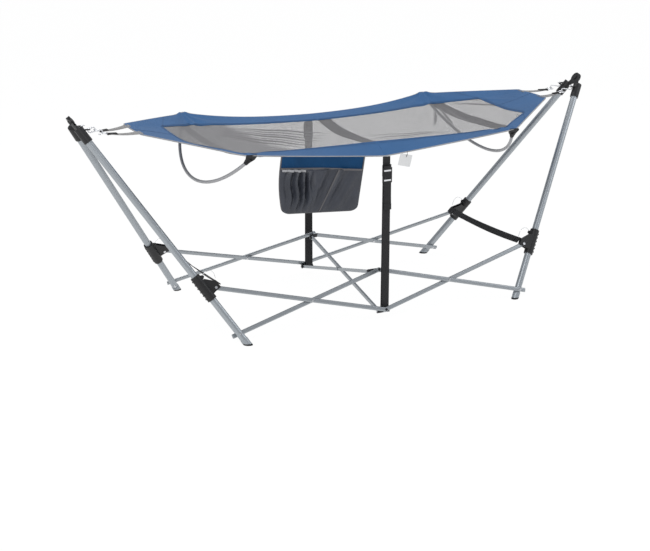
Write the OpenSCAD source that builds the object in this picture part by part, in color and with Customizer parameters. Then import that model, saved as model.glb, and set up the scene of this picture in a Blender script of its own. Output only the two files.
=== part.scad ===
// Folding hammock on a stand: two leaning rows of scissor braces, joined by a cross of flat bars,
// carry four long legs whose heads hold the fabric bed. All sizes are in millimetres.
// X runs along the bed, Y from the front row to the back row, Z up from the floor.

/* [Frame] */
// Half distance between the left and right feet
foot_x = 628; // [600:1:660]
// Half distance between the front and back rows at the floor
foot_y = 388; // [375:1:400]
// Height of the head pivots above the floor
pivot_z = 852; // [830:1:880]
// Outward tilt of a leg inside its row
leg_tilt = 30.2; // [29:0.1:31.5]
// Half distance between the rows at the head pivots
head_half = 21; // [20:0.5:23]
// Height of the lower hub pin, measured up the row
hub_low_v = 45; // [42:1:50]
// Height of the upper hub pin, measured up the row
hub_up_v = 211; // [205:1:218]

/* [Legs] */
// Outer diameter of a leg tube
leg_d = 28; // [26:0.5:30]
// Wall of a leg tube
leg_wall = 1.2; // [1:0.1:2]
// Distance of a leg axis from the middle plane of its row
leg_n = 15; // [15:0.5:17]
// Depth of a leg tube inside its head
head_grip = 55; // [45:1:62]
// Height of a foot cap on its leg
cap_h = 28; // [24:1:34]
// Wall of a foot cap
cap_wall = 1.4; // [1.2:0.1:1.4]
// Thickness of the foot cap under the tube
cap_floor = 4; // [3:0.5:6]

/* [Braces] */
// Width of a flat oval brace
bar_w = 18; // [16:0.5:19]
// Thickness of a flat oval brace
bar_t = 10; // [8:0.5:10]
// Wall of a brace
bar_wall = 1.2; // [1:0.1:1.6]
// Free space between two braces that cross
bar_gap = 1; // [0.8:0.1:1.4]
// Length of a short brace beyond its foot rivet
bar_over = 24; // [20:1:28]
// Diameter of the brace rivets
rivet_d = 6; // [5:0.5:7]
// Diameter of a rivet head
rivet_head_d = 11; // [10:0.5:12]
// Height of a rivet head
rivet_head_h = 2.4; // [2:0.1:3]

/* [Hubs and cross bars] */
// Distance of a hub's cross pin from the middle plane of its row
pin_off = 20.5; // [20.5:0.5:22]
// Diameter of a hub's cross pin
pin_d = 7; // [6:0.5:7.5]
// Thickness of the hub plates
hub_t = 2.5; // [2:0.1:2.5]
// Half height of a hub plate
hub_half = 9; // [8:0.5:9.5]
// Depth of a cross bar
cross_h = 12.5; // [11:0.5:13]
// Thickness of a cross bar
cross_t = 10; // [8:0.5:10]
// Place of the middle between the two cross bars
cross_x = -26; // [-27:0.5:-25]

/* [Sliders] */
// Distance of the slider rivet from the leg axis
ear_off = 42; // [40:0.5:44]
// Length of a slider's sleeve
sleeve_len = 112; // [104:1:120]
// Outer diameter of a slider's sleeve
sleeve_d = 39; // [38:0.5:40]
// Length of the sleeve below the slider rivet
sleeve_low = 26; // [24:1:30]
// Thickness of a slider's ear plates
ear_t = 3.5; // [3:0.1:3.6]
// Reach of the ears from the leg axis
ear_reach = 60; // [57:0.5:63]
// Height of the ears above the slider rivet
ear_up = 55; // [50:1:58]
// Height of the ears below the slider rivet
ear_down = 12; // [11:0.5:14]
// Diameter of the slider's lock button
button_d = 12; // [10:0.5:13]
// Travel left for the lock button
button_travel = 6; // [5:0.5:7]

/* [Heads] */
// Outer diameter of a head's socket
socket_d = 36; // [34:0.5:37]
// Distance of the socket's closed end below the head pivot
socket_top = 36; // [35:1:40]
// Length of a head's socket
socket_len = 64; // [60:1:68]
// Radius of a head plate round its pivot
head_r = 23; // [21:0.5:24]
// Thickness of a head plate
head_t = 6; // [5:0.5:7]
// Distance of the hook tab's root below the head pivot
tab_drop = 43; // [41:1:46]
// Droop of the hook tab towards the bed
tab_turn = 34; // [28:1:38]
// Thickness of the hook tab
tab_t = 4; // [3.5:0.1:5]
// Radius of the hook tab
tab_r = 10.5; // [10:0.5:12]
// Radius of the hole in the hook tab
tab_hole_r = 5.5; // [5.4:0.1:6]

/* [Hooks and rings] */
// Diameter of the hook wire
hook_wire = 4.2; // [4:0.1:4.4]
// Radius of a hook's bends
hook_r = 9; // [8.5:0.5:10]
// Distance between the two bends of a hook
hook_span = 40; // [36:1:44]
// Downward slope of the hooks towards the bed
hook_slope = 16; // [12:1:20]
// Diameter of the ring wire
ring_wire = 4.6; // [4:0.1:5]
// Radius of a ring
ring_r = 12; // [11:0.5:13]

/* [Bed] */
// Half width of the bed in its middle
bed_mid_half = 345; // [335:1:352]
// Half width of the bed at the bows
bed_bow_half = 378; // [374:1:384]
// Half width of the bed at its ends
bed_end_half = 105; // [95:1:115]
// Half length of the bed's wide part
bed_end_x = 925; // [910:1:935]
// Thickness of the folded fabric
bed_t = 6; // [5:0.5:7]
// Sag of the mesh between the long edges
bed_sag = 28; // [20:1:36]
// Width of a tail at the bed
tail_w = 50; // [40:1:60]
// Width of a tail at its ring
tail_tip_w = 20; // [18:1:22]

/* [Bows] */
// Distance of the bows from the bed's middle
bow_x = 585; // [575:1:595]
// Half distance between the ends of a bow
bow_half = 362; // [358:1:364]
// Depth of a bow below its ends
bow_sag = 195; // [185:1:205]
// Height of the middle of a bow's chord
bow_z = 750; // [746:1:753]
// Diameter of a bow tube
bow_d = 13; // [12:0.5:14]
// Wall of a bow tube
bow_wall = 1.2; // [1:0.1:1.6]
// Outward lean of a bow
bow_lean = 31; // [28:1:34]
// Diameter of a bow's end cap
bow_cap_d = 17; // [16:0.5:18]

/* [Straps] */
// Width of the upright straps
strap_w = 30; // [26:1:30]
// Thickness of the webbing
strap_t = 2.2; // [1.8:0.1:2.4]
// Width of the tie straps between the sliders
tie_w = 28; // [24:1:30]
// Sag of a tie strap
tie_sag = 16; // [8:1:24]
// Height of the buckle below the top of a strap
buckle_drop = 80; // [70:1:95]
// Height of the buckle
buckle_h = 44; // [40:1:50]

/* [Pocket and tag] */
// Width of the side pocket
pocket_w = 370; // [350:1:385]
// Height of the side pocket
pocket_h = 212; // [195:1:225]
// How much narrower the pocket is at its foot, on the side of the middle
pocket_taper = 34; // [20:1:45]
// Thickness of the empty side pocket
pocket_t = 8; // [6:0.5:10]
// Distance of the pocket's middle from the bed's middle
pocket_x = 279; // [272:1:290]
// Width of the hang tag
tag_w = 56; // [50:1:60]
// Height of the hang tag
tag_h = 50; // [45:1:55]

/* [Hidden] */

$fn = 48;
// Running clearance of pins and sleeves
fit = 0.1;
// Clearance of soft parts and loose faces
air = 0.3;
// Overlap of solids that are joined in one piece
lap = 0.5;

// Corners, numbered round the stand
front_left = 0;
front_right = 1;
back_right = 2;
back_left = 3;

// Rows
lean = atan((foot_y - head_half) / pivot_z);
cross_y = 2 * foot_y - (hub_low_v + hub_up_v) * sin(lean) - 2 * pin_off * cos(lean);
cross_z = (hub_up_v - hub_low_v) * cos(lean);
cross_len = norm([cross_y, cross_z]);
cross_rise = atan(cross_z / cross_y);
brace_inner = cross_len / 2;
brace_rise = asin((hub_up_v - hub_low_v) / cross_len);

// Leg, foot rivet and slider rivet, in the row: x along the row, y up the row, z out of the row
leg_r = leg_d / 2;
foot_q = (hub_up_v - foot_x * tan(brace_rise)) / (cos(leg_tilt) + sin(leg_tilt) * tan(brace_rise));
foot_pin = [foot_x + foot_q * sin(leg_tilt), foot_q * cos(leg_tilt)];
ear_run = (hub_low_v + (foot_pin[0] - ear_off * cos(leg_tilt)) * tan(brace_rise)
    - foot_pin[1] - ear_off * sin(leg_tilt)) / (cos(leg_tilt) - sin(leg_tilt) * tan(brace_rise));
ear_q = foot_q + ear_run;
ear_pin = [foot_x + ear_q * sin(leg_tilt) - ear_off * cos(leg_tilt),
    ear_q * cos(leg_tilt) + ear_off * sin(leg_tilt)];
crossing = [brace_inner * cos(brace_rise), hub_low_v + brace_inner * sin(brace_rise)];
long_len = norm([ear_pin[0], ear_pin[1] - hub_low_v]);
short_len = norm([foot_pin[0], foot_pin[1] - hub_up_v]);
bar_n = (bar_t + bar_gap) / 2;
leg_side_n = leg_n - leg_r;
foot_shift = leg_n * sin(lean) / (cos(leg_tilt) * cos(lean));
foot_slope = tan(acos(cos(leg_tilt) * cos(lean)));
leg_start = cap_floor + leg_r * foot_slope;

// Heads
head_turn = atan(tan(leg_tilt) / cos(lean));
head_swing = asin(cos(leg_tilt) * sin(lean));
pivot_x = foot_x + pivot_z / cos(lean) * tan(leg_tilt);
pivot_y = leg_n / cos(lean);
leg_off_x = leg_n * tan(lean) * tan(leg_tilt);
plate_gap = 0.9;
// Sides of the open eyes' mouth, from the middle of the hole, clear of the hook's wire
eye_mouth = [-hook_wire / 2 - 2.1, hook_wire / 2 + 1.1];
tab_reach = socket_d / 2 / cos(tab_turn) + tab_r - 1;

// Hubs
hub_n = bar_t + bar_gap / 2 + air;
hub_ear_r = cross_h / 2 + 1;
cross_gap = 0.5;
one_span = [cross_x + cross_gap, cross_x + cross_gap + cross_t];
two_span = [cross_x - cross_gap - cross_t, cross_x - cross_gap];
front_strap_x = 6;
back_strap_x = -5;

// Points of the row in the stand's frame
function row_point(back, p) =
    let (y = -foot_y + p[1] * sin(lean) - p[2] * cos(lean), z = p[1] * cos(lean) + p[2] * sin(lean))
    back ? [-p[0], -y, z] : [p[0], y, z];
function flipped(corner) = corner == front_left || corner == back_right;
function in_back(corner) = corner >= back_right;
function corner_point(corner, p) =
    row_point(in_back(corner), flipped(corner) ? [-p[0], p[1], -p[2]] : p);
// A point beside a leg: out from its axis, along it, and across the row
function leg_point(corner, p) =
    corner_point(corner, [foot_x + p[1] * sin(leg_tilt) + p[0] * cos(leg_tilt),
        p[1] * cos(leg_tilt) - p[0] * sin(leg_tilt), p[2] - leg_n]);
function leg_shift(corner) = flipped(corner) ? -foot_shift : foot_shift;

module row(back) {
    rotate([0, 0, back ? 180 : 0])
        translate([0, -foot_y, 0])
            rotate([90 - lean, 0, 0])
                children();
}

module at_corner(corner) {
    row(in_back(corner))
        rotate([0, flipped(corner) ? 180 : 0, 0])
            children();
}

// Leg frame: x outwards, y up the leg, z across the row
module at_leg(corner) {
    at_corner(corner)
        translate([foot_x, 0, -leg_n])
            rotate([0, 0, -leg_tilt])
                children();
}

module along_y(r, y0, y1) {
    translate([0, y0, 0])
        rotate([-90, 0, 0])
            cylinder(r = r, h = y1 - y0);
}

module rivet(z0, z1) {
    translate([0, 0, z0])
        cylinder(d = rivet_d - 2 * fit, h = z1 - z0);
    translate([0, 0, z0 - rivet_head_h])
        cylinder(d1 = rivet_head_d - rivet_head_h, d2 = rivet_head_d, h = rivet_head_h);
    translate([0, 0, z1])
        cylinder(d1 = rivet_head_d, d2 = rivet_head_d - rivet_head_h, h = rivet_head_h);
}

/* Legs */

function leg_bottom(corner) = leg_shift(corner) + leg_start;
head_q = (pivot_z / cos(lean)) / cos(leg_tilt);
leg_top = head_q - socket_top - socket_len + head_grip;

module leg(corner) {
    color("lightgray") at_leg(corner) difference() {
        along_y(leg_r, leg_bottom(corner), leg_top);
        along_y(leg_r - leg_wall, leg_bottom(corner) - 1, leg_top + 1);
        translate([0, foot_q, 0])
            cylinder(d = rivet_d, h = leg_d + 2, center = true);
    }
}

module foot_cap(corner) {
    color("black") intersection() {
        at_leg(corner) difference() {
            along_y(leg_r + cap_wall, leg_shift(corner) - leg_d, leg_shift(corner) + cap_h);
            along_y(leg_r + fit / 2, leg_bottom(corner), leg_shift(corner) + cap_h + 1);
        }
        translate([-2 * foot_x, -2 * foot_y, 0])
            cube([4 * foot_x, 4 * foot_y, 4 * cap_h]);
    }
}

/* Braces */

// A flat oval tube along x from one rivet hole, closed at both ends
module brace(len, over) {
    half = bar_w / 2;
    flat = half - bar_t / 2;
    difference() {
        union() {
            translate([-half + bar_t / 2, 0, 0]) {
                for (y = [-flat, flat])
                    translate([0, y, 0])
                        rotate([0, 90, 0])
                            cylinder(d = bar_t, h = len + over + half - bar_t / 2);
                translate([0, -flat, -bar_t / 2])
                    cube([len + over + half - bar_t / 2, 2 * flat, bar_t]);
            }
            translate([0, 0, -bar_t / 2])
                cylinder(d = bar_w, h = bar_t);
        }
        translate([half + bar_wall, 0, 0]) {
            for (y = [-flat, flat])
                translate([0, y, 0])
                    rotate([0, 90, 0])
                        cylinder(d = bar_t - 2 * bar_wall, h = len + over - half - 4 * bar_wall);
            translate([0, -flat, -bar_t / 2 + bar_wall])
                cube([len + over - half - 4 * bar_wall, 2 * flat, bar_t - 2 * bar_wall]);
        }
        for (x = [0, brace_inner, len])
            translate([x, 0, 0])
                cylinder(d = rivet_d, h = bar_t + 2, center = true);
    }
}

module long_brace(corner) {
    color("silver") at_corner(corner)
        translate([0, hub_low_v, -bar_n])
            rotate([0, 0, brace_rise])
                brace(long_len, bar_w / 2);
}

module short_brace(corner) {
    color("silver") at_corner(corner)
        translate([0, hub_up_v, bar_n])
            rotate([0, 0, -brace_rise])
                brace(short_len, bar_over);
}

module brace_rivets(corner) {
    outer = bar_n + bar_t / 2 + fit;
    color("gainsboro") at_corner(corner) {
        translate([crossing[0], crossing[1], 0])
            rivet(-outer, outer);
        translate([foot_pin[0], foot_pin[1], 0])
            rivet(-leg_n - leg_r - fit, outer);
    }
}

/* Hubs */

// The hub plate lies behind the braces; ears lists the near faces of the ears that hold a cross pin
module hub(v, ears) {
    x0 = min(ears);
    x1 = max(ears) + hub_t;
    translate([0, v, 0]) {
        difference() {
            union() {
                translate([min(x0, -hub_half), -hub_half, -hub_n - hub_t])
                    cube([max(x1, hub_half) - min(x0, -hub_half), 2 * hub_half, hub_t]);
                for (x = ears) {
                    translate([x, -hub_half, -pin_off])
                        cube([hub_t, 2 * hub_half, pin_off - hub_n - hub_t + lap]);
                    translate([x, 0, -pin_off])
                        rotate([0, 90, 0])
                            cylinder(r = hub_half, h = hub_t);
                }
            }
            translate([x0 - 1, 0, -pin_off])
                rotate([0, 90, 0])
                    cylinder(d = pin_d, h = x1 - x0 + 2);
        }
        translate([0, 0, -hub_n - lap])
            cylinder(d = rivet_d - 2 * fit, h = hub_n + lap + bar_n + bar_t / 2 + fit);
        translate([0, 0, bar_n + bar_t / 2 + fit])
            cylinder(d1 = rivet_head_d, d2 = rivet_head_d - rivet_head_h, h = rivet_head_h);
    }
}

// A pin through the ears from the outer face at x0 to the outer face at x1; a flush one has no head at x1
module cross_pin(v, x0, x1, flush) {
    translate([x0 - 2, v, -pin_off])
        rotate([0, 90, 0]) {
            cylinder(d = pin_d + 4, h = 2 - fit);
            cylinder(d = pin_d - 2 * fit, h = x1 - x0 + (flush ? 2 : 4));
            if (!flush)
                translate([0, 0, x1 - x0 + 2 + fit])
                    cylinder(d = pin_d + 4, h = 2 - fit);
        }
}

ear_gap = 0.5;
// Near faces of the hub ears along x in the stand's frame
lower_front_ears = [one_span[0] - ear_gap - hub_t, front_strap_x + strap_w / 2 + ear_gap];
lower_back_ears = [two_span[0] - ear_gap - hub_t, two_span[1] + ear_gap, back_strap_x + strap_w / 2 + ear_gap];
upper_front_ears = [two_span[0] - ear_gap - hub_t, two_span[1] + ear_gap];
upper_back_ears = [one_span[0] - ear_gap - hub_t, one_span[1] + ear_gap];

function turned(ears) = [for (x = ears) -x - hub_t];

module lower_hub(back) {
    color("dimgray") row(back) {
        hub(hub_low_v, back ? turned(lower_back_ears) : lower_front_ears);
        // Staked head of the second cross bar's pivot
        if (back)
            translate([-lower_back_ears[0] - lap, hub_low_v, -pin_off])
                rotate([0, 90, 0])
                    cylinder(d = pin_d + 4, h = 2 + lap);
    }
}

module upper_hub(back) {
    ears = back ? turned(upper_back_ears) : upper_front_ears;
    color("dimgray") row(back) {
        hub(hub_up_v, ears);
        cross_pin(hub_up_v, min(ears), max(ears) + hub_t, false);
    }
}

module strap_pin(back) {
    color("silver") row(back)
        if (back)
            cross_pin(hub_low_v, -lower_back_ears[2] - hub_t, -lower_back_ears[1], true);
        else
            cross_pin(hub_low_v, lower_front_ears[0], lower_front_ears[1] + hub_t, false);
}

low_pin = row_point(false, [0, hub_low_v, -pin_off]);
up_pin = row_point(false, [0, hub_up_v, -pin_off]);
cross_mid = -low_pin[1] / cos(cross_rise);

// A flat cross bar from its lower pin to its upper pin, with half of the centre rivet staked on its free side;
// the one that starts at the back rests between its lower hub's ears without a hole
module cross_bar(span, back) {
    free_x = back ? span[0] - rivet_head_h : span[1];
    start = back ? -low_pin[1] : low_pin[1];
    translate([0, start, low_pin[2]])
        mirror([0, back ? 1 : 0, 0])
            rotate([cross_rise, 0, 0]) {
                    difference() {
                        union() {
                            translate([span[0], 0, -cross_h / 2])
                                cube([cross_t, cross_len, cross_h]);
                            for (y = [0, cross_len])
                                translate([span[0], y, 0])
                                    rotate([0, 90, 0])
                                        cylinder(d = cross_h, h = cross_t);
                        }
                        translate([span[0] + bar_wall, cross_h / 2 + bar_wall, -cross_h / 2 + bar_wall])
                            cube([cross_t - 2 * bar_wall, cross_len - cross_h - 2 * bar_wall, cross_h - 2 * bar_wall]);
                        for (y = back ? [cross_len] : [0, cross_len])
                            translate([span[0] - 1, y, 0])
                                rotate([0, 90, 0])
                                    cylinder(d = pin_d, h = cross_t + 2);
                    }
                    translate([free_x, cross_mid, 0])
                        rotate([0, 90, 0])
                            cylinder(d = rivet_head_d, h = rivet_head_h);
                }
}

module cross_bar_one() {
    color("silver") cross_bar(one_span, false);
}

module cross_bar_two() {
    color("silver") cross_bar(two_span, true);
}

/* Sliders */

arm_z = leg_n - bar_n;
ear_z = [arm_z - bar_t / 2 - air - ear_t, arm_z + bar_t / 2 + air];
slider_low = ear_q - sleeve_low;
button_y = slider_low + sleeve_len - 20;
button_hole = leg_r + fit;

module slider(corner) {
    color("black") at_leg(corner) difference() {
        union() {
            along_y(sleeve_d / 2, slider_low, slider_low + sleeve_len);
            // Web between the ears
            translate([-sleeve_d / 2 - 7, ear_q - ear_down, ear_z[0]])
                cube([sleeve_d / 2 + 7, ear_up + ear_down, ear_z[1] + ear_t - ear_z[0]]);
            for (z = ear_z)
                translate([0, ear_q, z])
                    linear_extrude(ear_t)
                        polygon([[-4, -ear_down], [-ear_reach, 2 - ear_down], [-ear_reach, 17],
                            [-sleeve_d / 2 - 7, ear_up], [-4, ear_up]]);
            // Boss of the lock button
            translate([-sleeve_d / 2 - 4, button_y, 0])
                rotate([0, 90, 0])
                    cylinder(d = button_d + 5, h = sleeve_d / 2);
            // Grip ribs on the outer side
            for (k = [0 : 5])
                translate([sleeve_d / 2 - 2, slider_low + 12 + k * (sleeve_len - 28) / 5, -8])
                    cube([3.2, 5, 16]);
        }
        along_y(leg_r + fit, slider_low - 1, slider_low + sleeve_len + 1);
        translate([-ear_off, ear_q, ear_z[0] - 1])
            cylinder(d = rivet_d, h = ear_z[1] + ear_t - ear_z[0] + 2);
        translate([-sleeve_d / 2 - 5, button_y, 0])
            rotate([0, 90, 0])
                cylinder(d = button_d - 4, h = sleeve_d / 2);
    }
}

// Two short rivets, one in each ear plate
module slider_rivet(corner) {
    color("gainsboro") at_leg(corner) translate([-ear_off, ear_q, 0]) {
        for (k = [0, 1]) {
            out = k == 0 ? ear_z[0] - rivet_head_h - fit : ear_z[1] + ear_t + fit;
            translate([0, 0, ear_z[k]])
                cylinder(d = rivet_d - 2 * fit, h = ear_t);
            translate([0, 0, out])
                cylinder(d = rivet_head_d, h = rivet_head_h);
            translate([0, 0, k == 0 ? out : ear_z[k]])
                cylinder(d = rivet_d - 2 * fit, h = ear_t + fit + rivet_head_h);
        }
    }
}

module lock_button(corner) {
    tip = leg_r + air;
    stem = button_d - 4 - 2 * fit;
    color("black") at_leg(corner)
        translate([-tip, button_y, 0])
            rotate([0, -90, 0]) {
                cylinder(d = stem, h = sleeve_d / 2 + 4 + air - tip + 1);
                translate([0, 0, sleeve_d / 2 + 4 + air - tip])
                    cylinder(d = button_d, h = 5);
            }
}

/* Heads */

// Frame of the right pair of heads: x along the pivot, away from the bed, z up in the plates
module at_pair(right) {
    rotate([0, 0, right ? 0 : 180])
        translate([pivot_x, pivot_y, pivot_z])
            rotate([0, head_turn, 0])
                children();
}

// Distance of a leg axis from the head pivot, in the plane of the plates and across it
cross_off = leg_off_x * cos(head_turn);
lateral = [(head_half + leg_off_x * sin(head_turn) * tan(head_swing)) * cos(head_swing),
    (head_half - leg_off_x * sin(head_turn) * tan(head_swing)) * cos(head_swing)];

// outer heads are those of the front right and back left legs, inner heads the other two
module head(corner) {
    outer = !flipped(corner);
    sign = outer ? 1 : -1;
    side = outer ? lateral[0] : lateral[1];
    half = socket_d / 2;
    color("black") at_pair(corner == front_right || corner == back_right)
        rotate([sign * -head_swing, 0, 0]) {
            difference() {
                union() {
                    translate([outer ? -plate_gap - head_t : plate_gap, 0, 0])
                        rotate([90, 0, 90])
                            linear_extrude(head_t) {
                                circle(r = head_r);
                                polygon([[sign * (head_r - 1), -4], [sign * (head_r - 8), -head_r + 7],
                                    [sign * (half - side - 2), -socket_top + 1],
                                    [sign * (half - side - 3), -socket_top - socket_len / 2],
                                    [sign * (3 - half - side), -socket_top - socket_len / 2],
                                    [sign * (-1 - head_r * 0.9), -6], [sign * (1 - head_r), 2]]);
                            }
                    translate([sign * cross_off, -sign * side, -socket_top - socket_len])
                        cylinder(d = socket_d, h = socket_len);
                    // Hook tab towards the bed
                    translate([sign * cross_off, -sign * side, -tab_drop])
                        rotate([0, -tab_turn, 0])
                            translate([0, 0, -tab_t / 2])
                                linear_extrude(tab_t) {
                                    translate([-tab_reach, 0])
                                        circle(r = tab_r);
                                    translate([-tab_reach, -tab_r])
                                        square([tab_reach, 2 * tab_r]);
                                }
                    // Rim and cap of the pivot
                    translate([outer ? -plate_gap - head_t - 3 : plate_gap + head_t - lap, 0, 0])
                        rotate([0, 90, 0])
                            cylinder(r = head_r * 0.45, h = 3 + lap);
                }
                translate([sign * cross_off, -sign * side, -socket_top - socket_len - 1])
                    cylinder(d = leg_d + fit, h = head_grip + 1);
                translate([sign * cross_off, -sign * side, -tab_drop])
                    rotate([0, -tab_turn, 0])
                        translate([-tab_reach, 0, 0]) {
                            cylinder(r = tab_hole_r, h = tab_t + 2, center = true);
                            // The back legs' eyes are open on the side that their hook leaves by
                            if (in_back(corner))
                                translate([eye_mouth[0], outer ? 0 : -tab_r - 1, -tab_t / 2 - 1])
                                    cube([eye_mouth[1] - eye_mouth[0], tab_r + 1, tab_t + 2]);
                        }
            }
        }
}

// Middle of the hole in a hook tab, in the stand's frame
function turned_x(p, a) = [p[0], p[1] * cos(a) - p[2] * sin(a), p[1] * sin(a) + p[2] * cos(a)];
function turned_y(p, a) = [p[0] * cos(a) + p[2] * sin(a), p[1], -p[0] * sin(a) + p[2] * cos(a)];
function right_tab(outer) =
    let (sign = outer ? 1 : -1, side = outer ? lateral[0] : lateral[1])
    [pivot_x, pivot_y, pivot_z] + turned_y(turned_x([sign * cross_off - tab_reach * cos(tab_turn),
        -sign * side, -tab_drop - tab_reach * sin(tab_turn)], -sign * head_swing), head_turn);
function tab_point(right, outer) =
    let (p = right_tab(outer)) right ? p : [-p[0], -p[1], p[2]];

/* Hooks and rings */

hook_tangent = asin(2 * hook_r / hook_span);
hook_seat = tab_hole_r - air - hook_wire / 2 - 1.4;
ring_seat = hook_r - hook_wire / 2 - air - ring_wire / 2;
ring_far = hook_r + hook_seat + hook_span + ring_seat + 2 * ring_r;

module wire_arc(r, a0, a1, wire) {
    rotate([0, 0, a0])
        rotate_extrude(angle = a1 - a0)
            translate([r, 0])
                circle(d = wire);
}

// Hook frame: x towards the bed, y up
module s_hook() {
    straight = hook_span * cos(hook_tangent);
    wire_arc(hook_r, 60, 271 + hook_tangent, hook_wire);
    translate([hook_r * sin(hook_tangent), -hook_r * cos(hook_tangent), 0])
        rotate([0, 0, hook_tangent])
            rotate([0, 90, 0])
                cylinder(d = hook_wire - 0.05, h = straight);
    translate([hook_span, 0, 0])
        wire_arc(hook_r, -120, 91 + hook_tangent, hook_wire);
}

module hook_and_ring(p, right) {
    translate(p)
        rotate([0, 0, right ? 180 : 0])
            rotate([0, hook_slope, 0])
                translate([hook_r + hook_seat, 0, 0]) {
                    rotate([90, 0, 0])
                        s_hook();
                    translate([hook_span + ring_seat + ring_r, 0, 0])
                        rotate_extrude()
                            translate([ring_r, 0])
                                circle(d = ring_wire);
                }
}

module hooks(right) {
    color("silver")
        for (outer = [true, false])
            hook_and_ring(tab_point(right, outer), right);
}

function ring_end(right, outer) =
    let (p = tab_point(right, outer), reach = ring_far + ring_wire / 2 + air)
    [p[0] + (right ? -1 : 1) * reach * cos(hook_slope), p[1], p[2] - reach * sin(hook_slope)];

/* Bed */

// Half width at a distance from the bed's middle
function bed_half(x) = x < bow_x
    ? bed_mid_half + (bed_bow_half - bed_mid_half) * x / bow_x
    : bed_bow_half + (bed_end_half - bed_bow_half) * (x - bow_x) / (bed_end_x - bow_x);

// Heights at the bed's middle, at the bows and at its end, and how the height rises on the way to the bows
bed_front_z = [bow_z - 72, bow_z - 10, bow_z + 51];
bed_front_seam_z = [bow_z - 27, bow_z - 17, bow_z + 52];
bed_back_seam_z = [bow_z - 32, bow_z - 5, bow_z + 53];
bed_back_z = [bow_z - 21, bow_z + 34, bow_z + 55];
function rise(list, x, bend) = x < bow_x
    ? list[0] + (list[1] - list[0]) * pow(x / bow_x, bend)
    : list[1] + (list[2] - list[1]) * (x - bow_x) / (bed_end_x - bow_x);
function bed_dip(x) = bed_sag * (x < bow_x ? 1 - 0.45 * x / bow_x : 0.55 * (bed_end_x - x) / (bed_end_x - bow_x));
function mix(a, b, k) = a + (b - a) * k;

// The mesh hangs between two seams, at these shares of the half width; the border runs from them to the edges
seam_t = [0.8, 0.76];
// Upper face of the bed; t runs from -1 at the front edge to 1 at the back edge
function bed_top_z(x, t, k) = t < -seam_t[0]
    ? mix(rise(bed_front_z, x, 1.05), rise(bed_front_seam_z, x, 2), (t + 1) / (1 - seam_t[0]))
    : t > seam_t[1]
    ? mix(rise(bed_back_seam_z, x, 2), rise(bed_back_z, x, 2.8), (t - seam_t[1]) / (1 - seam_t[1]))
    : mix(rise(bed_front_seam_z, x, 2), rise(bed_back_seam_z, x, 2), k) - bed_dip(x) * 4 * k * (1 - k);
function bed_top(x, t) =
    [x, t * bed_half(abs(x)), bed_top_z(abs(x), t, (t + seam_t[0]) / (seam_t[0] + seam_t[1]))];

bed_steps = 14;
bed_ribs = 10;
bed_seam = 1;

module bed_half_panel(right) {
    dir = right ? 1 : -1;
    xs = [for (i = [0 : bed_steps]) bed_seam + (bed_end_x - bed_seam) * i / bed_steps];
    ts = concat([-1], [for (j = [0 : bed_ribs - 2]) mix(-seam_t[0], seam_t[1], j / (bed_ribs - 2))], [1]);
    tops = [for (x = xs) for (t = ts) bed_top(dir * x, t)];
    points = concat(tops, [for (p = tops) p - [0, 0, bed_t]]);
    n = bed_ribs + 1;
    m = len(tops);
    faces = concat(
        [for (i = [0 : bed_steps - 1]) for (j = [0 : bed_ribs - 1])
            [i * n + j, i * n + j + 1, (i + 1) * n + j + 1, (i + 1) * n + j]],
        [for (i = [0 : bed_steps - 1]) for (j = [0 : bed_ribs - 1])
            [m + i * n + j, m + (i + 1) * n + j, m + (i + 1) * n + j + 1, m + i * n + j + 1]],
        [for (i = [0 : bed_steps - 1]) [i * n, (i + 1) * n, m + (i + 1) * n, m + i * n]],
        [for (i = [0 : bed_steps - 1])
            [i * n + bed_ribs, m + i * n + bed_ribs, m + (i + 1) * n + bed_ribs, (i + 1) * n + bed_ribs]],
        [for (j = [0 : bed_ribs - 1]) [j, m + j, m + j + 1, j + 1]],
        [for (j = [0 : bed_ribs - 1])
            [bed_steps * n + j, bed_steps * n + j + 1, m + bed_steps * n + j + 1, m + bed_steps * n + j]]);
    polyhedron(points, right ? faces : [for (f = faces) [f[3], f[2], f[1], f[0]]], convexity = 4);
}

// A tail of webbing from the bed's end to one ring
module tail(right, outer) {
    dir = right ? 1 : -1;
    tip = ring_end(right, outer);
    side = tip[1] < 0 ? -1 : 1;
    root_y = side * (bed_end_half - tail_w / 2 - 4);
    root = bed_top(dir * bed_end_x, root_y / bed_end_half);
    hull() {
        translate([root[0] - dir * 6, root_y - tail_w / 2, root[2] - bed_t + 1])
            cube([6, tail_w, bed_t - 2]);
        translate([tip[0] - (right ? 3 : 0), tip[1] - tail_tip_w / 2, tip[2] - 1.5])
            cube([3, tail_tip_w, 3]);
    }
}

module bed(right) {
    color("steelblue") union() {
        bed_half_panel(right);
        for (outer = [true, false])
            tail(right, outer);
    }
}

/* Bows */

bow_roll = atan(21 / bow_half);
bow_r = (bow_half * bow_half + bow_sag * bow_sag) / (2 * bow_sag);
bow_arc = asin(bow_half / bow_r);
bow_cap_arc = 3.2;
bow_drop = 9;

module at_bow(right) {
    translate([(right ? 1 : -1) * bow_x, 0, bow_z - bow_drop])
        rotate([bow_roll, 0, 0])
            rotate([0, (right ? -1 : 1) * bow_lean, 0])
                translate([0, 0, bow_r - bow_sag])
                    rotate([90, 0, 90])
                        children();
}

module bow(right) {
    color("silver") at_bow(right)
        rotate([0, 0, -90 - bow_arc])
            rotate_extrude(angle = 2 * bow_arc, $fn = 96)
                translate([bow_r, 0])
                    difference() {
                        circle(d = bow_d, $fn = 32);
                        circle(d = bow_d - 2 * bow_wall, $fn = 32);
                    }
}

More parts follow.
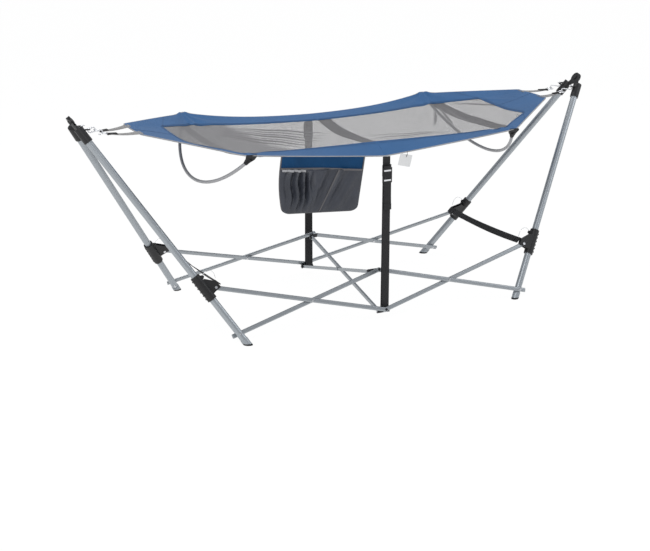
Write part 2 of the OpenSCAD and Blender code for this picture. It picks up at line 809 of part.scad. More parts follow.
module bow_caps(right) {
    color("black") at_bow(right)
        for (end = [-1, 1])
            difference() {
                rotate([0, 0, -90 + end * (bow_arc - bow_cap_arc * 0.3) - bow_cap_arc / 2])
                    rotate_extrude(angle = bow_cap_arc, $fn = 96)
                        translate([bow_r, 0])
                            circle(d = bow_cap_d, $fn = 32);
                rotate([0, 0, -90 - bow_arc])
                    rotate_extrude(angle = 2 * bow_arc, $fn = 96)
                        translate([bow_r, 0])
                            circle(d = bow_d, $fn = 32);
            }
}

/* Straps */

strap_gap = 0.5;
buckle_rod = 4;
buckle_play = 3.3;
front_edge = bed_top(0, -1);
back_edge = bed_top(0, 1);
strap_face = [-bed_half(strap_w) - strap_gap, bed_half(strap_w) + strap_gap];
strap_top = [front_edge[2] - 1, back_edge[2] - 1];
loop_r = pin_d / 2 + fit + strap_t;

// Webbing looped round its pin, as an outline in y and z drawn out along x
module strap(back) {
    side = back ? 1 : -1;
    pin = [side * -low_pin[1], low_pin[2]];
    face = back ? strap_face[1] : strap_face[0];
    top = back ? strap_top[1] : strap_top[0];
    x0 = (back ? back_strap_x : front_strap_x) - strap_w / 2;
    foot = pin[0] - side * loop_r + side * strap_t / 2;
    color("black") translate([x0, 0, 0])
        rotate([90, 0, 90])
            linear_extrude(strap_w) {
                difference() {
                    translate(pin)
                        circle(r = loop_r);
                    translate(pin)
                        circle(r = pin_d / 2);
                }
                polygon([[foot - strap_t / 2, pin[1]], [foot + strap_t / 2, pin[1]],
                    [face + (back ? strap_t : 0), top], [face + (back ? 0 : -strap_t), top]]);
            }
}

// The buckle lies along its strap, which slants where the bed is narrower than the hubs stand apart
module buckle(back) {
    side = back ? 1 : -1;
    face = back ? strap_face[1] : strap_face[0];
    top = back ? strap_top[1] : strap_top[0];
    foot = side * (-low_pin[1] - loop_r);
    slant = atan((foot - face) / (top - low_pin[2]));
    x0 = (back ? back_strap_x : front_strap_x) - strap_w / 2;
    y = side * (strap_t + air + buckle_rod / 2);
    color("silver")
        translate([0, face, top])
            rotate([slant, 0, 0]) {
                for (x = [x0 - buckle_play, x0 + strap_w + buckle_play])
                    translate([x, y, -buckle_drop])
                        cylinder(d = buckle_rod, h = buckle_h);
                for (k = [0, 0.5, 1])
                    translate([x0 - buckle_play, y, -buckle_drop + k * buckle_h])
                        rotate([0, 90, 0])
                            cylinder(d = buckle_rod, h = strap_w + 2 * buckle_play);
            }
}

// Webbing between the ears of the two sliders on one side
tie_steps = 12;
tie_dir = 40;

module tie_strap(right) {
    from = leg_point(right ? front_right : front_left, [-ear_reach - 5, ear_q + 8, arm_z]);
    to = leg_point(right ? back_right : back_left, [-ear_reach - 5, ear_q + 8, arm_z]);
    dir = right ? 1 : -1;
    wide = [-dir * cos(tie_dir), 0, -sin(tie_dir)] * tie_w / 2;
    thick = [dir * sin(tie_dir), 0, -cos(tie_dir)] * strap_t / 2;
    inset = 8;
    start = from + [0, inset, 0];
    stop = to - [0, inset, 0];
    rings = [for (i = [0 : tie_steps])
        let (k = i / tie_steps, c = start + (stop - start) * k - [0, 0, 4 * tie_sag * k * (1 - k)])
        [c - wide - thick, c + wide - thick, c + wide + thick, c - wide + thick]];
    points = [for (r = rings) for (p = r) p];
    sides = [for (i = [0 : tie_steps - 1]) for (j = [0 : 3])
        [4 * i + j, 4 * i + (j + 1) % 4, 4 * i + 4 + (j + 1) % 4, 4 * i + 4 + j]];
    last = 4 * tie_steps;
    faces = concat(sides, [[3, 2, 1, 0], [last, last + 1, last + 2, last + 3]]);
    color("black")
        polyhedron(points, right ? faces : [for (f = faces) [f[3], f[2], f[1], f[0]]], convexity = 4);
}

/* Pocket and tag */

edge_turn = atan((bed_bow_half - bed_mid_half) / bow_x);

// Frame of a piece that hangs on the front edge: x along the edge, y up, at a distance from the middle
module at_front_edge(x) {
    p = bed_top(x, -1);
    translate([p[0], p[1] - strap_gap, p[2] - 1])
        rotate([0, 0, x < 0 ? edge_turn : -edge_turn])
            rotate([90, 0, 0])
                children();
}

pocket_round = 40;

// Wider at the top, with round lower corners
module side_pocket() {
    low = pocket_w / 2 - pocket_round;
    color("dimgray") at_front_edge(-pocket_x)
        linear_extrude(pocket_t)
            difference() {
                union() {
                    translate([-pocket_w / 2, -pocket_h + pocket_round])
                        square([pocket_w, pocket_h - pocket_round]);
                    translate([-low, -pocket_h])
                        square([2 * low - pocket_taper, pocket_h]);
                    translate([-low, -pocket_h + pocket_round])
                        circle(r = pocket_round);
                    translate([low - pocket_taper, -pocket_h + pocket_round])
                        circle(r = pocket_round);
                }
                polygon([[pocket_w / 2, 0], [pocket_w / 2 + 1, 0], [pocket_w / 2 + 1, -pocket_h],
                    [pocket_w / 2 - pocket_taper, -pocket_h], [pocket_w / 2 - pocket_taper, -pocket_h + pocket_round]]);
            }
}

module hang_tag() {
    color("white") at_front_edge(90)
        translate([-tag_w / 2, -tag_h, 0])
            cube([tag_w, tag_h, 1.2]);
}

leg(front_left);  // leg_front_left
leg(front_right);  // leg_front_right
leg(back_right);  // leg_back_right
leg(back_left);  // leg_back_left
foot_cap(front_left);  // foot_cap_front_left
foot_cap(front_right);  // foot_cap_front_right
foot_cap(back_right);  // foot_cap_back_right
foot_cap(back_left);  // foot_cap_back_left
head(front_left);  // head_front_left
head(front_right);  // head_front_right
head(back_right);  // head_back_right
head(back_left);  // head_back_left
slider(front_left);  // slider_front_left
slider(front_right);  // slider_front_right
slider(back_right);  // slider_back_right
slider(back_left);  // slider_back_left
slider_rivet(front_left);  // slider_rivet_front_left
slider_rivet(front_right);  // slider_rivet_front_right
slider_rivet(back_right);  // slider_rivet_back_right
slider_rivet(back_left);  // slider_rivet_back_left
lock_button(front_left);  // lock_button_front_left
lock_button(front_right);  // lock_button_front_right
lock_button(back_right);  // lock_button_back_right
lock_button(back_left);  // lock_button_back_left
long_brace(front_left);  // long_brace_front_left
long_brace(front_right);  // long_brace_front_right
long_brace(back_right);  // long_brace_back_right
long_brace(back_left);  // long_brace_back_left
short_brace(front_left);  // short_brace_front_left
short_brace(front_right);  // short_brace_front_right
short_brace(back_right);  // short_brace_back_right
short_brace(back_left);  // short_brace_back_left
brace_rivets(front_left);  // brace_rivets_front_left
brace_rivets(front_right);  // brace_rivets_front_right
brace_rivets(back_right);  // brace_rivets_back_right
brace_rivets(back_left);  // brace_rivets_back_left
lower_hub(false);  // lower_hub_front
lower_hub(true);  // lower_hub_back
upper_hub(false);  // upper_hub_front
upper_hub(true);  // upper_hub_back
cross_bar_one();
cross_bar_two();
strap_pin(false);  // strap_pin_front
strap_pin(true);  // strap_pin_back
strap(false);  // strap_front
strap(true);  // strap_back
buckle(false);  // buckle_front
buckle(true);  // buckle_back
tie_strap(false);  // tie_strap_left
tie_strap(true);  // tie_strap_right
hooks(false);  // hooks_left
hooks(true);  // hooks_right
bed(false);  // bed_left
bed(true);  // bed_right
bow(false);  // bow_left
bow(true);  // bow_right
bow_caps(false);  // bow_caps_left
bow_caps(true);  // bow_caps_right
side_pocket();
hang_tag();
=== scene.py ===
import math

import bpy
from mathutils import Matrix, Vector


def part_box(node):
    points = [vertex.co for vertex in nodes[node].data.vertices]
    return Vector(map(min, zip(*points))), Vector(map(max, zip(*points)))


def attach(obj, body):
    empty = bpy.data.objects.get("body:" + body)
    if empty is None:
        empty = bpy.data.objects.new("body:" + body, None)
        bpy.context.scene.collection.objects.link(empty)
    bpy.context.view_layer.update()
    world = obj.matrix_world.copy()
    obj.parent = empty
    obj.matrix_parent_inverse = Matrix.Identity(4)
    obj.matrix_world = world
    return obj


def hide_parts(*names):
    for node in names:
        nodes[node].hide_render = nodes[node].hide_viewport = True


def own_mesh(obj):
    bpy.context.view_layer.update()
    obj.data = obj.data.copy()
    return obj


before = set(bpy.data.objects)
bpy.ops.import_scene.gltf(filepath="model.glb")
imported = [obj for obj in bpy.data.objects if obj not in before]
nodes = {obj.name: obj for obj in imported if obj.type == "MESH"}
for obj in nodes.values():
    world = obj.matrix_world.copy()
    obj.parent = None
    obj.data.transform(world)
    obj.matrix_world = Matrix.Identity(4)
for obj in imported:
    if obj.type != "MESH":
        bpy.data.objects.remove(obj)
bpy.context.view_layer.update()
print("frame loaded")

scene = bpy.context.scene
scene.view_settings.view_transform = "Standard"

# Camera, low and to the left of the front.
cameraSpec = {
    "place": (-2.521, -4.970, 1.820),
    "yaw": 25.79, "pitch": 18.94,
    "lens": 74.85, "sensor": 36,
    "shift": (0.0081, 0.0593),
    "farthest": 100,
}
cameraData = bpy.data.cameras.new("camera")
cameraData.lens = cameraSpec["lens"]
cameraData.sensor_width = cameraSpec["sensor"]
cameraData.shift_x, cameraData.shift_y = cameraSpec["shift"]
cameraData.clip_end = cameraSpec["farthest"]
camera = bpy.data.objects.new("camera", cameraData)
camera.location = cameraSpec["place"]
camera.rotation_euler = (math.pi / 2 - math.radians(cameraSpec["pitch"]), 0, -math.radians(cameraSpec["yaw"]))
scene.collection.objects.link(camera)
scene.camera = camera


def clearSelection():
    if bpy.context.object and bpy.context.object.mode != "OBJECT":
        bpy.ops.object.mode_set(mode="OBJECT")
    bpy.ops.object.select_all(action="DESELECT")


def activate(obj):
    clearSelection()
    obj.select_set(True)
    bpy.context.view_layer.objects.active = obj


def applyModifiers(obj):
    activate(obj)
    for modifier in list(obj.modifiers):
        bpy.ops.object.modifier_apply(modifier=modifier.name)


def settle(obj):
    obj.data.transform(obj.matrix_world)
    obj.matrix_world = Matrix.Identity(4)
    bpy.context.view_layer.update()


def outward(obj):
    activate(obj)
    bpy.ops.object.mode_set(mode="EDIT")
    bpy.ops.mesh.select_all(action="SELECT")
    bpy.ops.mesh.normals_make_consistent(inside=False)
    bpy.ops.object.mode_set(mode="OBJECT")


def pickFaces(obj, wanted):
    # Leaves the wanted faces selected, in edit mode.
    activate(obj)
    bpy.ops.object.mode_set(mode="EDIT")
    bpy.ops.mesh.select_mode(type="FACE")
    bpy.ops.mesh.select_all(action="DESELECT")
    bpy.ops.object.mode_set(mode="OBJECT")
    for polygon in obj.data.polygons:
        polygon.select = wanted(polygon)
    bpy.ops.object.mode_set(mode="EDIT")


def smooth(obj, angle):
    activate(obj)
    bpy.ops.object.shade_smooth_by_angle(angle=math.radians(angle))


def paint(obj, material):
    obj.data.materials.clear()
    obj.data.materials.append(material)


def addNode(tree, kind, **settings):
    node = tree.nodes.new(kind)
    for key, value in settings.items():
        setattr(node, key, value)
    return node


def addMath(tree, operation, a, b=None):
    node = addNode(tree, "ShaderNodeMath", operation=operation)
    for index, value in enumerate((a, b)):
        if value is None:
            continue
        if isinstance(value, (int, float)):
            node.inputs[index].default_value = value
        else:
            tree.links.new(value, node.inputs[index])
    return node.outputs[0]


# Floor: bright where it is seen, plain grey for the light that falls on it.
floorSpec = {"size": 80, "drop": 0.0005, "tint": (0.82, 0.82, 0.82), "glow": 1.04, "glowShare": 0.93}
clearSelection()
bpy.ops.mesh.primitive_plane_add(size=floorSpec["size"], location=(0, 0, -floorSpec["drop"]))
floor = bpy.context.object
floor.name = "floor"
settle(floor)
floorMaterial = bpy.data.materials.new("floorMaterial")
floorMaterial.use_nodes = True
tree = floorMaterial.node_tree
tree.nodes.clear()
output = addNode(tree, "ShaderNodeOutputMaterial")
mixShader = addNode(tree, "ShaderNodeMixShader")
diffuse = addNode(tree, "ShaderNodeBsdfDiffuse")
diffuse.inputs["Color"].default_value = (*floorSpec["tint"], 1)
glow = addNode(tree, "ShaderNodeEmission")
glow.inputs["Strength"].default_value = floorSpec["glow"]
ray = addNode(tree, "ShaderNodeLightPath").outputs
seen = addMath(tree, "MAXIMUM", ray["Is Camera Ray"], ray["Is Glossy Ray"])
seen = addMath(tree, "MAXIMUM", seen, ray["Is Transmission Ray"])
seen = addMath(tree, "MULTIPLY", seen, floorSpec["glowShare"])
tree.links.new(seen, mixShader.inputs[0])
tree.links.new(diffuse.outputs[0], mixShader.inputs[1])
tree.links.new(glow.outputs[0], mixShader.inputs[2])
tree.links.new(mixShader.outputs[0], output.inputs[0])
paint(floor, floorMaterial)

# Sky and three soft lights that face the middle of the stand.
skySpec = {"tint": (0.94, 0.96, 1.0), "strength": 0.5}
world = bpy.data.worlds.new("studio")
scene.world = world
world.use_nodes = True
background = world.node_tree.nodes["Background"]
background.inputs["Color"].default_value = (*skySpec["tint"], 1)
background.inputs["Strength"].default_value = skySpec["strength"]

lightTarget = (0, 0, 0.5)
lights = {
    "keyLight": {"place": (-2.6, -2.8, 3.6), "size": (2.6, 2.6), "power": 82, "tint": (1, 1, 1)},
    "fillLight": {"place": (3.4, -2.2, 2.6), "size": (2.4, 2.4), "power": 30, "tint": (0.95, 0.97, 1.0)},
    "topLight": {"place": (0.3, 1.2, 4.2), "size": (3.0, 2.0), "power": 44, "tint": (1, 1, 1)},
}
for name, spec in lights.items():
    data = bpy.data.lights.new(name, "AREA")
    data.shape = "RECTANGLE"
    data.size, data.size_y = spec["size"]
    data.energy = spec["power"]
    data.color = spec["tint"]
    light = bpy.data.objects.new(name, data)
    light.location = spec["place"]
    facing = Vector(lightTarget) - Vector(spec["place"])
    light.rotation_euler = facing.to_track_quat("-Z", "Y").to_euler()
    scene.collection.objects.link(light)
print("stage ready")


def newGroup(name, inputs, outputs):
    group = bpy.data.node_groups.new(name, "ShaderNodeTree")
    for label, kind, value in inputs:
        socket = group.interface.new_socket(label, in_out="INPUT", socket_type=kind)
        socket.default_value = value
    for label, kind in outputs:
        group.interface.new_socket(label, in_out="OUTPUT", socket_type=kind)
    source = group.nodes.new("NodeGroupInput")
    sink = group.nodes.new("NodeGroupOutput")
    return group, source, sink


def addPatches(tree, source, detail, roughness):
    # Slow patches in the object's own coordinates, from -1 to 1.
    coord = addNode(tree, "ShaderNodeTexCoord")
    patch = addNode(tree, "ShaderNodeTexNoise")
    patch.inputs["Detail"].default_value = detail
    patch.inputs["Roughness"].default_value = roughness
    tree.links.new(coord.outputs["Object"], patch.inputs["Vector"])
    tree.links.new(source.outputs["Patch Scale"], patch.inputs["Scale"])
    return coord, addMath(tree, "MULTIPLY", addMath(tree, "SUBTRACT", patch.outputs["Fac"], 0.5), 2.0)


def tintColor(tree, color, brightness):
    tint = addNode(tree, "ShaderNodeVectorMath", operation="SCALE")
    tree.links.new(color, tint.inputs[0])
    tree.links.new(brightness, tint.inputs["Scale"])
    return tint.outputs[0]


def addRange(tree, value, *limits, interpolation="LINEAR"):
    node = addNode(tree, "ShaderNodeMapRange", interpolation_type=interpolation)
    for key, number in zip(("From Min", "From Max", "To Min", "To Max"), limits):
        node.inputs[key].default_value = number
    tree.links.new(value, node.inputs["Value"])
    return node.outputs["Result"]


def splitPlace(tree):
    parts = addNode(tree, "ShaderNodeSeparateXYZ")
    tree.links.new(addNode(tree, "ShaderNodeTexCoord").outputs["Object"], parts.inputs[0])
    return parts.outputs


# Grain: fine grain and slow patches for paint, plastic and metal.
grain, source, sink = newGroup(
    "surfaceGrain",
    [
        ("Color", "NodeSocketColor", (0.5, 0.5, 0.5, 1)),
        ("Fine Scale", "NodeSocketFloat", 900.0),
        ("Patch Scale", "NodeSocketFloat", 9.0),
        ("Color Change", "NodeSocketFloat", 0.08),
        ("Roughness", "NodeSocketFloat", 0.4),
        ("Roughness Change", "NodeSocketFloat", 0.1),
    ],
    [("Color", "NodeSocketColor"), ("Roughness", "NodeSocketFloat"), ("Height", "NodeSocketFloat")],
)
coord, swing = addPatches(grain, source, 4, 0.6)
fine = addNode(grain, "ShaderNodeTexNoise")
fine.inputs["Detail"].default_value = 2
grain.links.new(coord.outputs["Object"], fine.inputs["Vector"])
grain.links.new(source.outputs["Fine Scale"], fine.inputs["Scale"])
colorSwing = addMath(grain, "MULTIPLY", swing, source.outputs["Color Change"])
brightness = addMath(grain, "ADD", colorSwing, 1.0)
grain.links.new(tintColor(grain, source.outputs["Color"], brightness), sink.inputs["Color"])
roughSwing = addMath(grain, "MULTIPLY", swing, source.outputs["Roughness Change"])
grain.links.new(addMath(grain, "ADD", roughSwing, source.outputs["Roughness"]), sink.inputs["Roughness"])
grain.links.new(fine.outputs["Fac"], sink.inputs["Height"])

# Weave: over and under threads across two coordinates of the cloth's own map, in metres.
weaveSpec = {"middleHeight": 0.4, "roughSwing": 0.06}
weave, source, sink = newGroup(
    "clothWeave",
    [
        ("Color", "NodeSocketColor", (0.1, 0.2, 0.4, 1)),
        ("Thread", "NodeSocketFloat", 0.0012),
        ("Depth", "NodeSocketFloat", 0.3),
        ("Patch Scale", "NodeSocketFloat", 7.0),
        ("Patch Change", "NodeSocketFloat", 0.12),
        ("Roughness", "NodeSocketFloat", 0.75),
    ],
    [("Color", "NodeSocketColor"), ("Roughness", "NodeSocketFloat"), ("Height", "NodeSocketFloat"),
     ("Open", "NodeSocketFloat")],
)
split = addNode(weave, "ShaderNodeSeparateXYZ")
weave.links.new(addNode(weave, "ShaderNodeUVMap", uv_map="cloth").outputs[0], split.inputs[0])
waves = []
for axis in ("X", "Y"):
    turns = addMath(weave, "DIVIDE", split.outputs[axis], source.outputs["Thread"])
    waves.append(addMath(weave, "SINE", addMath(weave, "MULTIPLY", turns, math.pi)))
height = addMath(weave, "ABSOLUTE", addMath(weave, "MULTIPLY", waves[0], waves[1]))
weave.links.new(height, sink.inputs["Height"])
weave.links.new(height, sink.inputs["Open"])
coord, swing = addPatches(weave, source, 5, 0.5)
patchSwing = addMath(weave, "MULTIPLY", swing, source.outputs["Patch Change"])
# Each thread's tone follows the weave's height about the middle: painted light and shade of the weave's
# relief, its strength and way set per cloth.
threadHeight = addMath(weave, "SUBTRACT", height, weaveSpec["middleHeight"])
threadShade = addMath(weave, "MULTIPLY", threadHeight, source.outputs["Depth"])
brightness = addMath(weave, "ADD", addMath(weave, "ADD", patchSwing, threadShade), 1.0)
weave.links.new(tintColor(weave, source.outputs["Color"], brightness), sink.inputs["Color"])
roughSwing = addMath(weave, "MULTIPLY", swing, weaveSpec["roughSwing"])
weave.links.new(addMath(weave, "ADD", roughSwing, source.outputs["Roughness"]), sink.inputs["Roughness"])


def groupMaterial(name, group, metal, bump, distance, values, extra):
    # A group's colour, roughness and height drive one Principled shader.
    material = bpy.data.materials.new(name)
    material.use_nodes = True
    tree = material.node_tree
    shader = tree.nodes["Principled BSDF"]
    shader.inputs["Base Color"].default_value = values["Color"]
    shader.inputs["Roughness"].default_value = values["Roughness"]
    shader.inputs["Metallic"].default_value = metal
    for key, value in extra.items():
        shader.inputs[key.replace("_", " ")].default_value = value
    pattern = addNode(tree, "ShaderNodeGroup", node_tree=group)
    for key, value in values.items():
        pattern.inputs[key].default_value = value
    relief = addNode(tree, "ShaderNodeBump")
    relief.inputs["Strength"].default_value = bump
    relief.inputs["Distance"].default_value = distance
    tree.links.new(pattern.outputs["Color"], shader.inputs["Base Color"])
    tree.links.new(pattern.outputs["Roughness"], shader.inputs["Roughness"])
    tree.links.new(pattern.outputs["Height"], relief.inputs["Height"])
    tree.links.new(relief.outputs[0], shader.inputs["Normal"])
    return material, tree, shader, pattern


# Past a slanting line at the left end the net's holes close up, a painted shade that darkens that end; along
# its folds they close up too, for cloth doubled over itself and for painted shade in the creases.
netShade = {"slant": 0.12, "from": -0.35, "to": -0.42, "creaseShadeShare": 0.8}


def openHoles(tree, shader, pattern, holes):
    place = splitPlace(tree)
    line = addMath(tree, "ADD", place["X"], addMath(tree, "MULTIPLY", place["Y"], netShade["slant"]))
    # Painted shade: past a slanting line at the left end the holes close up and the net turns darker.
    leftShade = addRange(tree, line, netShade["from"], netShade["to"], *holes, interpolation="SMOOTHSTEP")
    crease = addNode(tree, "ShaderNodeAttribute", attribute_name="crease").outputs["Fac"]
    # Along the folds the holes close too: cloth doubled over itself, and painted shade in the creases.
    coverAndShade = addMath(tree, "ADD", leftShade, addMath(tree, "MULTIPLY", crease, netShade["creaseShadeShare"]))
    tree.links.new(addMath(tree, "LESS_THAN", pattern.outputs["Open"], coverAndShade), shader.inputs["Alpha"])


def grainMaterial(name, color, rough, metal=0.0, fineScale=900.0, patchScale=9.0, change=0.08,
                  roughChange=0.1, bump=0.05, distance=0.0002, **extra):
    values = {"Color": (*color, 1), "Fine Scale": fineScale, "Patch Scale": patchScale,
              "Color Change": change, "Roughness": rough, "Roughness Change": roughChange}
    return groupMaterial(name, grain, metal, bump, distance, values, extra)[0]


# depth sets the strength and way of the painted light and shade of the weave's relief.
def clothMaterial(name, color, thread=0.0012, depth=0.3, rough=0.78, patchScale=7.0, patchChange=0.12,
                  bump=0.4, distance=0.0004, holes=None, **extra):
    values = {"Color": (*color, 1), "Thread": thread, "Depth": depth, "Patch Scale": patchScale,
              "Patch Change": patchChange, "Roughness": rough}
    material, tree, shader, pattern = groupMaterial(name, weave, 0.0, bump, distance, values, extra)
    if holes:
        openHoles(tree, shader, pattern, holes)
    return material


# The feet have a dark sole.
soleSpec = {"low": 0.0062, "high": 0.0068, "dark": 0.03}


def addSole(material):
    tree = material.node_tree
    color = tree.nodes["Principled BSDF"].inputs["Base Color"]
    sole = addRange(tree, splitPlace(tree)["Z"], soleSpec["low"], soleSpec["high"], soleSpec["dark"], 1.0)
    tree.links.new(tintColor(tree, color.links[0].from_socket, sole), color)


# Finishes of the steel, the plastic, the cloth and the webbing.
frameCoat = {"fineScale": 160, "roughChange": 0.05, "bump": 0.0004}
tubePaint = grainMaterial("tubePaint", (0.395, 0.425, 0.45), 0.33, 0.65, patchScale=14, change=0.05,
                          **frameCoat)
barPaint = grainMaterial("barPaint", (0.375, 0.4, 0.42), 0.34, 0.65, patchScale=18, change=0.06, **frameCoat)
blackPlastic = grainMaterial("blackPlastic", (0.0085, 0.0085, 0.0095), 0.45, fineScale=700, patchScale=30,
                             change=0.25, roughChange=0.1, bump=0.05)
brightSteel = grainMaterial("brightSteel", (0.74, 0.75, 0.77), 0.24, 1.0, patchScale=60, change=0.06)
bracketPaint = grainMaterial("bracketPaint", (0.022, 0.023, 0.026), 0.38, 0.4, patchScale=40, change=0.2)
rivetSteel = grainMaterial("rivetSteel", (0.6, 0.61, 0.63), 0.28, 1.0, patchScale=90, change=0.1)
blueCloth = clothMaterial("blueCloth", (0.04, 0.124, 0.285), thread=0.0011, depth=0.35, patchScale=6,
                          patchChange=0.14, Sheen_Weight=0.08, Sheen_Roughness=0.5, Specular_IOR_Level=0.3)
deepBlueCloth = clothMaterial("deepBlueCloth", (0.004, 0.052, 0.145), thread=0.0011, depth=0.35, rough=0.6,
                              patchScale=9, patchChange=0.3, Specular_IOR_Level=0.2)
paleBinding = clothMaterial("paleBinding", (0.38, 0.38, 0.39), thread=0.0016, depth=0.4, bump=0.6)
greyWebbing = clothMaterial("greyWebbing", (0.33, 0.325, 0.32), thread=0.0022, depth=0.6, bump=0.8,
                            distance=0.0007)
blackWebbing = clothMaterial("blackWebbing", (0.009, 0.009, 0.0105), thread=0.0022, depth=0.8, bump=0.9,
                             distance=0.0007, rough=0.66)
darkWebbing = clothMaterial("darkWebbing", (0.06, 0.06, 0.064), thread=0.0022, depth=0.6, bump=0.8)
meshCloth = clothMaterial("meshCloth", (0.2, 0.196, 0.2), thread=0.0019, depth=-0.3, patchScale=4,
                          patchChange=0.1, holes=(0.62, 0.94), rough=0.7, bump=0.3)
# The pouch's strong, slow patches are random tone, and partly painted light and shade that stand in for light
# on its folds.
pocketCloth = clothMaterial("pocketCloth", (0.037, 0.041, 0.054), thread=0.0014, depth=0.4, rough=0.42,
                            patchScale=16, patchChange=0.45)
footPaint = grainMaterial("footPaint", (0.39, 0.42, 0.445), 0.4, 0.4, patchScale=14, change=0.06, **frameCoat)
addSole(footPaint)
cardWhite = grainMaterial("cardWhite", (0.82, 0.82, 0.81), 0.6, fineScale=300, change=0.03, bump=0.05)
seamThread = grainMaterial("seamThread", (0.035, 0.075, 0.16), 0.7, change=0.1)
pocketBinding = clothMaterial("pocketBinding", (0.135, 0.13, 0.135), thread=0.0016, depth=0.4, bump=0.6)
bowPaint = grainMaterial("bowPaint", (0.44, 0.44, 0.45), 0.42, 0.3, fineScale=160, patchScale=14,
                         change=0.05, bump=0.004)
print("materials ready")

# CAD nodes keep their shape and get their finishes; what isn't named here is black webbing.
nodeFinishes = (
    (("leg_", "bow_left", "bow_right"), tubePaint),
    (("long_brace", "short_brace", "cross_bar"), barPaint),
    (("foot_cap",), footPaint),
    (("head_", "slider_front", "slider_back", "lock_button", "bow_caps"), blackPlastic),
    (("slider_rivet", "brace_rivets", "strap_pin"), rivetSteel),
    (("hooks",), brightSteel),
    (("lower_hub", "upper_hub"), bracketPaint),
)
for name, obj in nodes.items():
    fitting = [material for starts, material in nodeFinishes if name.startswith(starts)]
    paint(obj, fitting[0] if fitting else blackWebbing)
    smooth(obj, 35)
print("frame dressed")


def finish(obj, material):
    paint(obj, material)


# The bed's surface, in metres. Widths and heights are at the middle, at the bows and at the end of a half;
# the fourth value of a row bends it between the first two. The seams are shares of the half width.
bedSpec = {
    "bowX": 0.585, "endX": 0.925, "netX": 0.748,
    "halfMid": 0.345, "halfBow": 0.378, "halfEnd": 0.105,
    "seamFront": -0.8, "seamBack": 0.76, "backWidens": 0.13,
    "dipMid": 0.029, "dipBow": 0.016,
    "frontEdge": (0.678, 0.737, 0.801, 1.05),
    "frontSeam": (0.723, 0.732, 0.802, 2.0),
    "backSeam": (0.717, 0.738, 0.803, 2.0),
    "backEdge": (0.729, 0.774, 0.805, 2.6),
    "middleGap": 0.0003, "stripShare": 0.2, "endShare": 0.86,
    "columns": 170, "rows": 70, "netRows": 150,
    "netDrop": 0.0034, "overlap": 0.008, "borderThickness": 0.0028,
}
bowX, endX, netX = bedSpec["bowX"], bedSpec["endX"], bedSpec["netX"]
seamFront = bedSpec["seamFront"]


def shares(steps):
    return [k / steps for k in range(steps + 1)]


def mix(a, b, share):
    return a + (b - a) * share


def bump(value, middle, spread):
    return math.exp(-((value - middle) / spread) ** 2)


def pastBow(away):
    return (away - bowX) / (endX - bowX)


def halfWidth(away):
    if away < bowX:
        return mix(bedSpec["halfMid"], bedSpec["halfBow"], away / bowX)
    return mix(bedSpec["halfBow"], bedSpec["halfEnd"], pastBow(away))


def backSeamT(away):
    # The border's back strip widens past the bow.
    return bedSpec["seamBack"] - bedSpec["backWidens"] * max(0.0, min(1.0, (away - bowX) / (netX - bowX)))


def rise(row, away):
    mid, bow, end, bend = bedSpec[row]
    if away < bowX:
        return mix(mid, bow, (away / bowX) ** bend)
    return mix(bow, end, pastBow(away))


def bedDip(away):
    if away < bowX:
        return mix(bedSpec["dipMid"], bedSpec["dipBow"], away / bowX)
    return bedSpec["dipBow"] * (1 - pastBow(away))


# Folds of the net: narrow ridges that fan out from beside a bow end, a slight slack all over, pulls round the
# bow ends, and two small bumps where each bow end pushes the edge up. Directions are in degrees.
foldSpec = {
    "edge": 0.78, "ridgeWidth": 0.0058, "fullCrease": 0.0045,
    "slack": 0.0014, "pull": 0.004, "pullReach": 0.13,
    "push": 0.006, "pushFrom": 0.7, "pushFront": 0.3,
    "pushes": ((-0.016, 0.014), (0.013, 0.012)),
    "fans": (
        {"centre": (-0.62, 0.27), "directions": (-50, -43, -36, -30, -24, -18, -13), "reach": (0.16, 0.62),
         "height": 0.0068, "curve": 0.5},
        {"centre": (0.6, 0.31), "directions": (-118, -106, -95, -62, -50), "reach": (0.08, 0.4),
         "height": 0.0042, "curve": 0.4},
        {"centre": (0.5, -0.24), "directions": (150, 160, 168), "reach": (0.1, 0.5),
         "height": 0.004, "curve": -0.3},
    ),
}


def insideEdge(t):
    return max(0.0, 1 - (t / foldSpec["edge"]) ** 4)


def ridges(x, t):
    # Sharp pull folds, as a height.
    y = t * halfWidth(abs(x))
    waves = 0.0
    for fan in foldSpec["fans"]:
        dx = x - fan["centre"][0]
        dy = y - fan["centre"][1]
        away = math.hypot(dx, dy)
        near, far = fan["reach"]
        along = (away - near) / (far - near)
        if not 0 < along < 1:
            continue
        angle = math.degrees(math.atan2(dy, dx)) + 30 * fan["curve"] * (away - 0.3)
        for index, direction in enumerate(fan["directions"]):
            off = math.radians((angle - direction + 180) % 360 - 180)
            ridge = bump(off * away, 0, foldSpec["ridgeWidth"]) * math.sin(math.pi * along)
            waves += fan["height"] * (0.75 + 0.25 * math.sin(index * 2.4)) * ridge * insideEdge(t)
    return waves


def folds(x, t):
    y = t * halfWidth(abs(x))
    slack = foldSpec["slack"] * math.sin(31 * (x - 0.6 * y) + 2 * math.sin(5 * x)) * insideEdge(t)
    pulls = 0.0
    for side in (-1, 1):
        for back in (-1, 1):
            dx = side * bowX - x
            dy = back * bedSpec["halfBow"] - y
            reach = math.hypot(dx, dy)
            angle = math.atan2(back * dy, side * dx)
            fade = math.exp(-reach / foldSpec["pullReach"]) * min(1, reach / 0.04)
            pulls += foldSpec["pull"] * math.cos(angle * 9) * fade
    return slack + ridges(x, t) + pulls


